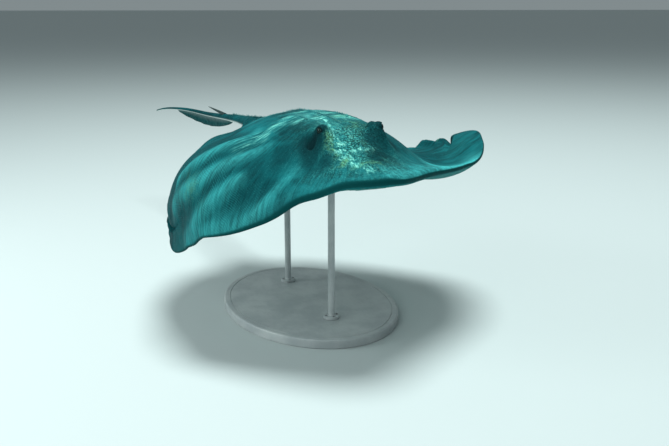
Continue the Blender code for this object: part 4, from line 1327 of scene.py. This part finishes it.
row_points = []
row_facing = []
row_plan = []
row_edges = []
row_marks = {name: [] for name in ("shade", "light", "streaks", "sand", "to_rim")}
for across_at, back_from, back_to in ((0.0, MIDLINE_START, MIDLINE_END), SHOULDER_ROW,
                                      (-SHOULDER_ROW[0], *SHOULDER_ROW[1:])):
    back = np.linspace(back_from, back_to, FIRST_BACK_POINTS)
    across = np.full(len(back), across_at)
    points = on_back(across, back)
    ahead = on_back(across, back + ROW_STEP) - on_back(across, back - ROW_STEP)
    sideways = on_back(across + ROW_STEP, back) - on_back(across - ROW_STEP, back)
    plan = np.stack([*plan_place(across, back), 0 * back], -1)
    facing = facing_of(ahead, sideways)
    side = np.where(across < 0, -1.0, 1.0)
    marks = markings(np.abs(across), back, np.full(len(back), WING_RUN), side)
    if across_at == 0.0:
        along = np.linspace(0.0, TAIL_ROW_END, FIRST_BACK_POINTS)[TAIL_ROW_SKIPS:]
        centre, _ = tail_line(along)
        centre[:, 2] += curve(TAIL_SIZE_PLACE, TAIL_HALF_HEIGHT, along)
        points = np.concatenate([points, place(*centre.T)])
        facing = np.concatenate([facing, np.tile([0.0, 0.0, 1.0], (len(along), 1))])
        down_plan = PLAN_TAIL[0] + PLAN_TAIL[1] * along * DISC_WIDTH
        tail_plan = np.stack([0 * along + PLAN_CORNER[0], down_plan, 0 * along], -1)
        plan = np.concatenate([plan, tail_plan])
        tail_marks = {"shade": TAIL_SHADE}
        marks = {name: np.append(values, np.full(len(along), tail_marks.get(name, 0.0)))
                 for name, values in marks.items()}
    marks["to_rim"] = np.full(len(points), WING_RUN)
    for name, values in marks.items():
        row_marks[name].append(values)
    start = sum(len(part) for part in row_points)
    row_points.append(points)
    row_facing.append(facing)
    row_plan.append(plan)
    row_edges += [(start + k, start + k + 1) for k in range(len(points) - 1)]
row_mesh = bpy.data.meshes.new("thorn_rows")
row_mesh.from_pydata(np.concatenate(row_points).tolist(), row_edges, [])
for name, values in (("facing", row_facing), ("plan", row_plan)):
    store(row_mesh, name, "FLOAT_VECTOR", np.concatenate(values))
for name, values in row_marks.items():
    store(row_mesh, name, "FLOAT", np.concatenate(values))
row_tree, row_sockets = thorn_tree("thorn rows", False)
thorns = grown("thorn_rows", row_mesh, row_tree, row_sockets,
               {"Spacing": THORN_SPACING, "Smallest": THORN_SIZES[0], "Largest": THORN_SIZES[1],
                "Seed": THORN_SEED, "Material": thorn_paint})
for coat in (prickles, thorns):
    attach(coat, "root")


# ---- Eyes -----------------------------------------------------------------------------------
# A glass eyeball in each turret: a dull brass iris under a slightly raised clear front, and a
# dark pupil that a skin flap from above half covers, which leaves it a crescent.
EYE_STEPS = (64, 40)
CORNEA_RISE = 0.05
CORNEA_HALF_ANGLE = 0.75
IRIS_HALF_ANGLE = 0.62
PUPIL_HALF_SIZE = (0.40, 0.30)
FLAP_CENTRE = 0.24
FLAP_HALF_SIZE = (0.22, 0.24)
BRASS = (0.014, 0.026, 0.018)
BRASS_DARK = (0.003, 0.009, 0.009)
EYE_WHITE_DARK = (0.005, 0.014, 0.016)
PUPIL_BLACK = (0.0015, 0.0015, 0.002)


def paint_eye():
    material, shader = new_material("eye_glass")
    tree = material.node_tree
    gaze = node(tree, "ShaderNodeAttribute", attribute_name="gaze").outputs["Vector"]
    split = node(tree, "ShaderNodeSeparateXYZ", [("Vector", gaze)])
    level, rise, ahead = split.outputs["X"], split.outputs["Y"], split.outputs["Z"]

    def disc(half_level, half_rise, centre):
        """Distance from a centre on the eye's front, over the half sizes."""
        off_level = maths(tree, "DIVIDE", level, half_level)
        off_rise = maths(tree, "DIVIDE", maths(tree, "SUBTRACT", rise, centre), half_rise)
        total = plus(tree, times(tree, off_level, off_level), times(tree, off_rise, off_rise))
        return maths(tree, "SQRT", total)

    turn = maths(tree, "ARCTAN2", rise, level)
    round_eye = node(tree, "ShaderNodeCombineXYZ",
                     [("X", times(tree, turn, 9.0)), ("Y", times(tree, ahead, 3.0))])
    fibres = noise(tree, round_eye.outputs[0], 1.0, 3.0, 0.5)
    iris = blend(tree, between(tree, fibres, 0.35, 0.65), BRASS_DARK, BRASS)
    ring = disc(IRIS_HALF_ANGLE, IRIS_HALF_ANGLE, 0.0)
    iris = blend(tree, between(tree, ring, 0.80, 1.0), iris, BRASS_DARK)
    colour = blend(tree, between(tree, ring, 1.0, 1.06), iris, EYE_WHITE_DARK)
    pupil = between(tree, disc(*PUPIL_HALF_SIZE, 0.0), 1.04, 0.96)
    flap = between(tree, disc(*FLAP_HALF_SIZE, FLAP_CENTRE), 1.05, 0.90)
    colour = blend(tree, times(tree, pupil, rest_of(tree, flap)), colour, PUPIL_BLACK)
    colour = blend(tree, maths(tree, "LESS_THAN", ahead, 0.0), colour, EYE_WHITE_DARK)
    tree.links.new(colour, shader.inputs["Base Color"])
    shader.inputs["Roughness"].default_value = 0.22
    shader.inputs["Specular IOR Level"].default_value = 0.15
    shader.inputs["Specular Tint"].default_value = (*WET_TINT, 1)
    shader.inputs["Coat Weight"].default_value = 0.08
    shader.inputs["Coat Roughness"].default_value = 0.05
    return material


eye_paint = paint_eye()
for side, name in ((-1, "right"), (1, "left")):
    ball = bmesh.new()
    bmesh.ops.create_uvsphere(ball, u_segments=EYE_STEPS[0], v_segments=EYE_STEPS[1], radius=1)
    unit = np.array([vert.co for vert in ball.verts])
    outward, forward, upward = eye_axes(side)
    off_axis = np.arccos(np.clip(unit[:, 2], -1, 1))
    raised = 1 + CORNEA_RISE * bump((off_axis / CORNEA_HALF_ANGLE) ** 2)
    axes = np.stack([forward, upward, outward])
    points = eye_centre(side) + EYE_RADIUS * DISC_WIDTH * raised[:, None] * (unit @ axes)
    for vert, point in zip(ball.verts, points):
        vert.co = point
    bmesh.ops.recalc_face_normals(ball, faces=ball.faces)
    eye_mesh = bpy.data.meshes.new(f"eyeball_{name}")
    ball.to_mesh(eye_mesh)
    ball.free()
    store(eye_mesh, "gaze", "FLOAT_VECTOR", unit)
    eye_mesh.shade_smooth()
    eye_mesh.materials.append(eye_paint)
    eyeball = add_object(f"eyeball_{name}", eye_mesh)
    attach(eyeball, "root")
    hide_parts(f"eye_{name}")


# ---- Tail spine -----------------------------------------------------------------------------
# The sting: a flat dagger of dentine that lifts off the top of the tail, with a ridge along its
# top, two grooves below, and teeth down both edges that point back to its root.
STING_START = 0.335
STING_LENGTH = 0.110
STING_HALF_WIDTH = 0.0060
STING_TO_RIGHT = 14          # degrees
STING_RISE = 9
STING_TEETH = 30
STING_TEETH_FROM = 0.16      # share of its length where the teeth begin
TOOTH_SHARE = 0.30           # how far a tooth stands out, over the half width
STING_TEETH_TO = 0.97
TOOTH_PROFILE = ((0.02, 1.0), (0.45, 0.5), (0.95, 0.0))      # places along a tooth, how far out
STING_AROUND = 20
STING_ROOT_RISE = 0.8        # where its root sits, as a share of the tail's half height
STING_TAPER = (0.85, 1.6)    # share of its width lost at the tip, and the power of the loss
STING_FLATNESS = 0.7         # half thickness over half width
STING_RIDGE = 0.25
STING_GROOVE = (0.45, 0.80, 0.12)            # depth, place below, and half width
SHARP_ABOVE = {"sting": 50, "turned": 30}    # degrees between faces that meet in a sharp edge
STING_DARK = (0.003, 0.014, 0.015)
STING_PALE = (0.018, 0.040, 0.038)

root, across = tail_line(np.array([STING_START]))
root, across = root[0], across[0]
root[2] += curve(TAIL_SIZE_PLACE, TAIL_HALF_HEIGHT, STING_START) * STING_ROOT_RISE
side = -math.radians(STING_TO_RIGHT)
rise = math.radians(STING_RISE)
ahead = np.array([math.sin(side) * math.cos(rise), math.cos(side) * math.cos(rise), math.sin(rise)])
shares = [0.0, 0.05, 0.10]
tooth_out = [0.0, 0.0, 0.0]
for k in range(STING_TEETH):
    for part, out in TOOTH_PROFILE:
        done = (k + part) / STING_TEETH
        shares.append(STING_TEETH_FROM + (STING_TEETH_TO - STING_TEETH_FROM) * done)
        tooth_out.append(out * TOOTH_SHARE)
shares.append(1.0)
tooth_out.append(0.0)
turn = np.linspace(0, 2 * math.pi, STING_AROUND, endpoint=False)


def ringed(name, solid, rings, sharp_above):
    """Close a solid made of rings of corner points, with a cap on each end, and show it."""
    for one, other in zip(rings, rings[1:]):
        for k in range(len(one)):
            after = (k + 1) % len(one)
            solid.faces.new([one[k], one[after], other[after], other[k]])
    solid.faces.new(rings[0])
    solid.faces.new(rings[-1])
    bmesh.ops.recalc_face_normals(solid, faces=solid.faces)
    mesh = bpy.data.meshes.new(name)
    solid.to_mesh(mesh)
    solid.free()
    mesh.shade_smooth()
    mesh.set_sharp_from_angle(angle=math.radians(sharp_above))
    return add_object(name, mesh)


spine = bmesh.new()
edge_mark = spine.verts.layers.float.new("edge")
rings = []
for share, out in zip(shares, tooth_out):
    half_width = STING_HALF_WIDTH * (1 - STING_TAPER[0] * share ** STING_TAPER[1])
    at_edge = np.abs(np.cos(turn)) ** 4
    sideways = half_width * np.cos(turn) * (1 + out * at_edge)
    ridge = 1 + STING_RIDGE * np.maximum(np.sin(turn), 0) ** 8
    grooves = 1 - STING_GROOVE[0] * bump((np.sin(turn) + STING_GROOVE[1]) / STING_GROOVE[2])
    upward = half_width * STING_FLATNESS * np.sin(turn) * ridge * grooves
    centre = root + ahead * STING_LENGTH * share
    points = centre + sideways[:, None] * across + upward[:, None] * np.array([0, 0, 1.0])
    ring = [spine.verts.new(point) for point in place(*points.T)]
    for vert, value in zip(ring, at_edge * (out > 0)):
        vert[edge_mark] = value
    rings.append(ring)
sting = ringed("tail_spine", spine, rings, SHARP_ABOVE["sting"])
sting_paint, shader = new_material("sting_dentine")
tree = sting_paint.node_tree
where = node(tree, "ShaderNodeTexCoord").outputs["Object"]
grain = noise(tree, stretched(tree, where, (1.0, 0.08, 1.0)), 900.0, 4.0)
stain = noise(tree, where, 60.0, 4.0)
tone = plus(tree, times(tree, grain, 0.6), times(tree, stain, 0.6))
colour = blend(tree, between(tree, tone, 0.45, 0.75), STING_DARK, STING_PALE)
colour = blend(tree, times(tree, mark_of(tree, "edge"), 0.7), colour, STING_PALE)
tree.links.new(colour, shader.inputs["Base Color"])
tree.links.new(between(tree, grain, 0.3, 0.7, 0.30, 0.55), shader.inputs["Roughness"])
add_relief(tree, shader, times(tree, grain, 0.0004))
sting.data.materials.append(sting_paint)
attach(sting, "root")
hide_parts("sting")


# ---- Stand ----------------------------------------------------------------------------------
# An oval aluminium plate and two steel rods in one satin paint. Each rod is screwed down through
# a turned foot and ends in a shallow cup that fits the belly.
BASE_EDGE_RADIUS = 0.005
BASE_LINE = (0.016, 0.0012)  # inset and depth of the turned line round the plate's top
PLATE_STEPS = 144
ROD_STEPS = 40
ROD_PLACES = {"front": 0.30, "rear": 0.61}   # distance behind the snout, in disc widths
FOOT_RADIUS = 0.021
FOOT_HEIGHT = 0.008
CUP_RADIUS = 0.015
CUP_HEIGHT = 0.016
BELLY_GAP = 0.0005
SCREWS = 4
SCREW_RING = 0.0152
SCREW_RADIUS = 0.0030
SCREW_HEIGHT = 0.0016
SCREW_STEPS = 18
SCREW_SOCKET = (0.55, 0.7)   # its width and depth, as shares of the head's
SCREW_SINK = 0.0002
PLATE_CHAMFER = 0.0015
LINE_SLOPE = 0.0004          # run of each side of the turned line
LINE_WIDTH = 0.0020
FOOT_GAP = 0.0003            # between the plate and a foot
FOOT_EDGES = (0.0006, 0.0015)                # chamfers below and above
FOOT_FILLET = 0.003
CUP_FLARE = 0.011            # height over which a rod widens to its cup
CUP_WALL = 0.0036            # height of the cup's upright side
CUP_EDGE = 0.0008
CUP_FITS = 0.004             # height below its rim from which a cup follows the belly
TURNED_STEPS = 7             # points round a turned edge or fillet
STAND_PAINT = (0.44, 0.47, 0.47)
STAND_SHADE = (0.34, 0.37, 0.38)
SCREW_STEEL = (0.30, 0.31, 0.32)


def lathe(name, profile, place_point, steps):
    """Closed solid from rings of (radius, height) pairs, each ring placed by a function."""
    turn = np.linspace(0, 2 * math.pi, steps, endpoint=False)
    solid = bmesh.new()
    rings = [[solid.verts.new(place_point(radius, height, angle)) for angle in turn]
             for radius, height in profile]
    return ringed(name, solid, rings, SHARP_ABOVE["turned"])


def paint_stand(name, colour, shade, metal, roughness):
    """Satin finish: slight mottling, orange peel and a few finer scuffs."""
    material, shader = new_material(name)
    tree = material.node_tree
    where = node(tree, "ShaderNodeTexCoord").outputs["Object"]
    cloud = noise(tree, where, 14.0, 4.0)
    peel = noise(tree, where, 900.0, 2.0)
    scuffs = noise(tree, stretched(tree, where, (9.0, 1.0, 4.0)), 30.0, 6.0, 0.7)
    tree.links.new(blend(tree, between(tree, cloud, 0.35, 0.70), shade, colour),
                   shader.inputs["Base Color"])
    tree.links.new(between(tree, scuffs, 0.35, 0.75, roughness - 0.06, roughness + 0.14),
                   shader.inputs["Roughness"])
    shader.inputs["Metallic"].default_value = metal
    add_relief(tree, shader, times(tree, peel, 0.00012))
    return material


stand_paint = paint_stand("stand_paint", STAND_PAINT, STAND_SHADE, 0.0, 0.36)
low, high = (np.array(corner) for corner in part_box("stand_base"))
plate_centre, plate_half = (low + high) / 2, (high - low) / 2
plate_top = high[2]


def on_plate(inset, height, angle):
    """Point of the oval plate, at an inset from its edge."""
    return (plate_centre[0] + (plate_half[0] - inset) * math.cos(angle),
            plate_centre[1] + (plate_half[1] - inset) * math.sin(angle), height)


plate_profile = [(PLATE_CHAMFER, 0.0), (0.0, PLATE_CHAMFER)]
for angle in np.linspace(0, math.pi / 2, TURNED_STEPS):
    plate_profile.append((BASE_EDGE_RADIUS * (1 - math.cos(angle)),
                          plate_top - BASE_EDGE_RADIUS * (1 - math.sin(angle))))
inset, depth = BASE_LINE
plate_profile += [(inset, plate_top), (inset + LINE_SLOPE, plate_top - depth),
                  (inset + LINE_WIDTH - LINE_SLOPE, plate_top - depth),
                  (inset + LINE_WIDTH, plate_top)]
base = lathe("stand_plate", plate_profile, on_plate, PLATE_STEPS)
base.data.materials.append(stand_paint)
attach(base, "root")
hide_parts("stand_base")


def belly_over(x, y):
    """Height of the belly over a place near the middle of the base."""
    back = y / DISC_WIDTH + CENTRE_BACK
    reach = np.array([abs(x) / DISC_WIDTH])
    round_share = (back - SPINE_FRONT) / (SPINE_REAR - SPINE_FRONT)
    under = curve(RIM_PLACE, RIM_RADIUS, np.array([round_share]))
    under = under + belly_height(reach, np.array([back]), np.array([WING_RUN]))
    side = np.array([1.0 if x > 0 else -1.0])
    return place(*bend(reach, np.array([back]), -under, side))[0, 2]


def screw_tree():
    """Geometry Nodes: a ring of cap screws with a socket in each head."""
    tree, sockets, given = grow_tree("foot screws", Screws="Int", Ring_Radius="Float",
                                     Head_Radius="Float", Head_Height="Float")
    ring = node(tree, "GeometryNodeMeshCircle", [("Vertices", given["Screws"]),
                                                 ("Radius", given["Ring Radius"])])
    head = node(tree, "GeometryNodeMeshCylinder",
                [("Vertices", SCREW_STEPS), ("Radius", given["Head Radius"]),
                 ("Depth", given["Head Height"])])
    rim = node(tree, "GeometryNodeExtrudeMesh", [("Mesh", head.outputs["Mesh"]),
                                                 ("Selection", head.outputs["Top"]),
                                                 ("Offset Scale", 0.0)])
    socket_edge = node(tree, "GeometryNodeScaleElements", [("Geometry", rim.outputs["Mesh"]),
                                                           ("Selection", rim.outputs["Top"]),
                                                           ("Scale", SCREW_SOCKET[0])])
    depth = times(tree, given["Head Height"], -SCREW_SOCKET[1])
    sunk = node(tree, "GeometryNodeExtrudeMesh", [("Mesh", socket_edge.outputs[0]),
                                                  ("Selection", rim.outputs["Top"]),
                                                  ("Offset Scale", depth)])
    over_foot = node(tree, "GeometryNodeInstanceOnPoints", [("Points", given["Geometry"]),
                                                            ("Instance", ring.outputs["Mesh"])])
    feet = node(tree, "GeometryNodeRealizeInstances", [("Geometry", over_foot.outputs[0])])
    screws = node(tree, "GeometryNodeInstanceOnPoints", [("Points", feet.outputs[0]),
                                                         ("Instance", sunk.outputs["Mesh"])])
    solid = node(tree, "GeometryNodeRealizeInstances", [("Geometry", screws.outputs[0])])
    finish_tree(tree, solid, given)
    return tree, sockets


foot_centres = []
for name, back in ROD_PLACES.items():
    low, high = (np.array(corner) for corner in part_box(f"stand_rod_{name}"))
    middle = (low + high) / 2
    shaft = (high[0] - low[0]) / 2
    foot = plate_top + FOOT_GAP
    foot_top = foot + FOOT_HEIGHT

    def on_rod(radius, height, angle):
        """Point of a rod. Heights over the cup's start follow the belly."""
        x = middle[0] + radius * math.cos(angle)
        y = middle[1] + radius * math.sin(angle)
        if height > cup_start + CUP_HEIGHT - CUP_FITS:
            height += belly_over(x, y) - belly_over(middle[0], middle[1])
        return (x, y, height)

    cup_start = belly_over(middle[0], middle[1]) - BELLY_GAP - CUP_HEIGHT
    below, above = FOOT_EDGES
    profile = [(FOOT_RADIUS - below, foot), (FOOT_RADIUS, foot + below),
               (FOOT_RADIUS, foot_top - above), (FOOT_RADIUS - above, foot_top)]
    for fillet in np.linspace(0, math.pi / 2, TURNED_STEPS):
        profile.append((shaft + FOOT_FILLET * (1 - math.sin(fillet)),
                        foot_top + FOOT_FILLET * (1 - math.cos(fillet))))
    for share in np.linspace(0, 1, 9):
        profile.append((shaft + (CUP_RADIUS - shaft) * ramp(share, 0, 1),
                        cup_start + CUP_FLARE * share))
    rim = cup_start + CUP_HEIGHT
    profile += [(CUP_RADIUS, rim - CUP_WALL), (CUP_RADIUS, rim - CUP_EDGE),
                (CUP_RADIUS - CUP_EDGE, rim)]
    rod = lathe(f"stand_post_{name}", profile, on_rod, ROD_STEPS)
    rod.data.materials.append(stand_paint)
    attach(rod, "root")
    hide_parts(f"stand_rod_{name}")
    foot_centres.append((middle[0], middle[1], foot_top + SCREW_HEIGHT / 2 - SCREW_SINK))
screw_steel = paint_stand("screw_steel", SCREW_STEEL, SCREW_STEEL, 1.0, 0.32)
feet_mesh = bpy.data.meshes.new("stand_screws")
feet_mesh.from_pydata(foot_centres, [], [])
tree, sockets = screw_tree()
screws = grown("stand_screws", feet_mesh, tree, sockets,
               {"Screws": SCREWS, "Ring Radius": SCREW_RING, "Head Radius": SCREW_RADIUS,
                "Head Height": SCREW_HEIGHT, "Material": screw_steel})
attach(screws, "root")


# ---- Room -----------------------------------------------------------------------------------
# Plain pale floor out to the horizon, soft light mostly from overhead, and the camera.
FLOOR_HALF_SIZE = 300.0
FLOOR_HEIGHT = -0.0005
CAMERA_PLACE = (-0.8079, -2.1270, 0.8203)
CAMERA_DOWN = 14.2           # degrees
CAMERA_TURN = 22.6
CAMERA_LENS = 45.74
LAMP_COLOUR = (0.90, 1.0, 0.99)
FLOOR_COLOUR = (0.52, 0.57, 0.57, 1)
ROOM_COLOUR = (0.74, 0.87, 0.90, 1)
ROOM_LIGHT = 0.30
# name, place, what it is turned to, diameter in metres, watts
LAMPS = [("key", (0.9, 0.4, 8.0), (0, 0, 0.4), 3.2, 755),
         ("fill", (-2.6, -2.4, 1.9), (0, 0, 0.45), 2.4, 38),
         ("side", (-2.8, 0.6, 1.4), (-0.3, 0.2, 0.3), 1.6, 40)]

floor_mesh = bpy.data.meshes.new("floor")
half = FLOOR_HALF_SIZE
corners = [(-half, -half), (half, -half), (half, half), (-half, half)]
floor_mesh.from_pydata([(x, y, FLOOR_HEIGHT) for x, y in corners], [], [(0, 1, 2, 3)])
floor = add_object("floor", floor_mesh)
floor_paint, shader = new_material("floor_paint")
shader.inputs["Base Color"].default_value = FLOOR_COLOUR
shader.inputs["Roughness"].default_value = 0.85
floor_mesh.materials.append(floor_paint)
floor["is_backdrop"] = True

world = bpy.data.worlds.new("room")
bpy.context.scene.world = world
world.use_nodes = True
background = world.node_tree.nodes["Background"]
background.inputs["Color"].default_value = ROOM_COLOUR
background.inputs["Strength"].default_value = ROOM_LIGHT


def soft_light(name, at, aim, size, power):
    """Round soft lamp at a place, turned to its aim."""
    light = bpy.data.lights.new(name, "AREA")
    light.shape = "DISK"
    light.size = size
    light.energy = power
    light.color = LAMP_COLOUR
    holder = add_object(name, light)
    holder.location = at
    direction = type(holder.location)(at) - type(holder.location)(aim)
    holder.rotation_euler = direction.to_track_quat("Z", "Y").to_euler()


for lamp in LAMPS:
    soft_light(*lamp)

camera_data = bpy.data.cameras.new("camera")
camera_data.sensor_width = 36
camera_data.lens = CAMERA_LENS
camera_data.clip_end = 1000
camera = add_object("camera", camera_data)
camera.location = CAMERA_PLACE
camera.rotation_euler = (math.radians(90 - CAMERA_DOWN), 0, math.radians(-CAMERA_TURN))
bpy.context.scene.camera = camera
bpy.context.scene.view_settings.view_transform = "Standard"

low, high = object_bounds()
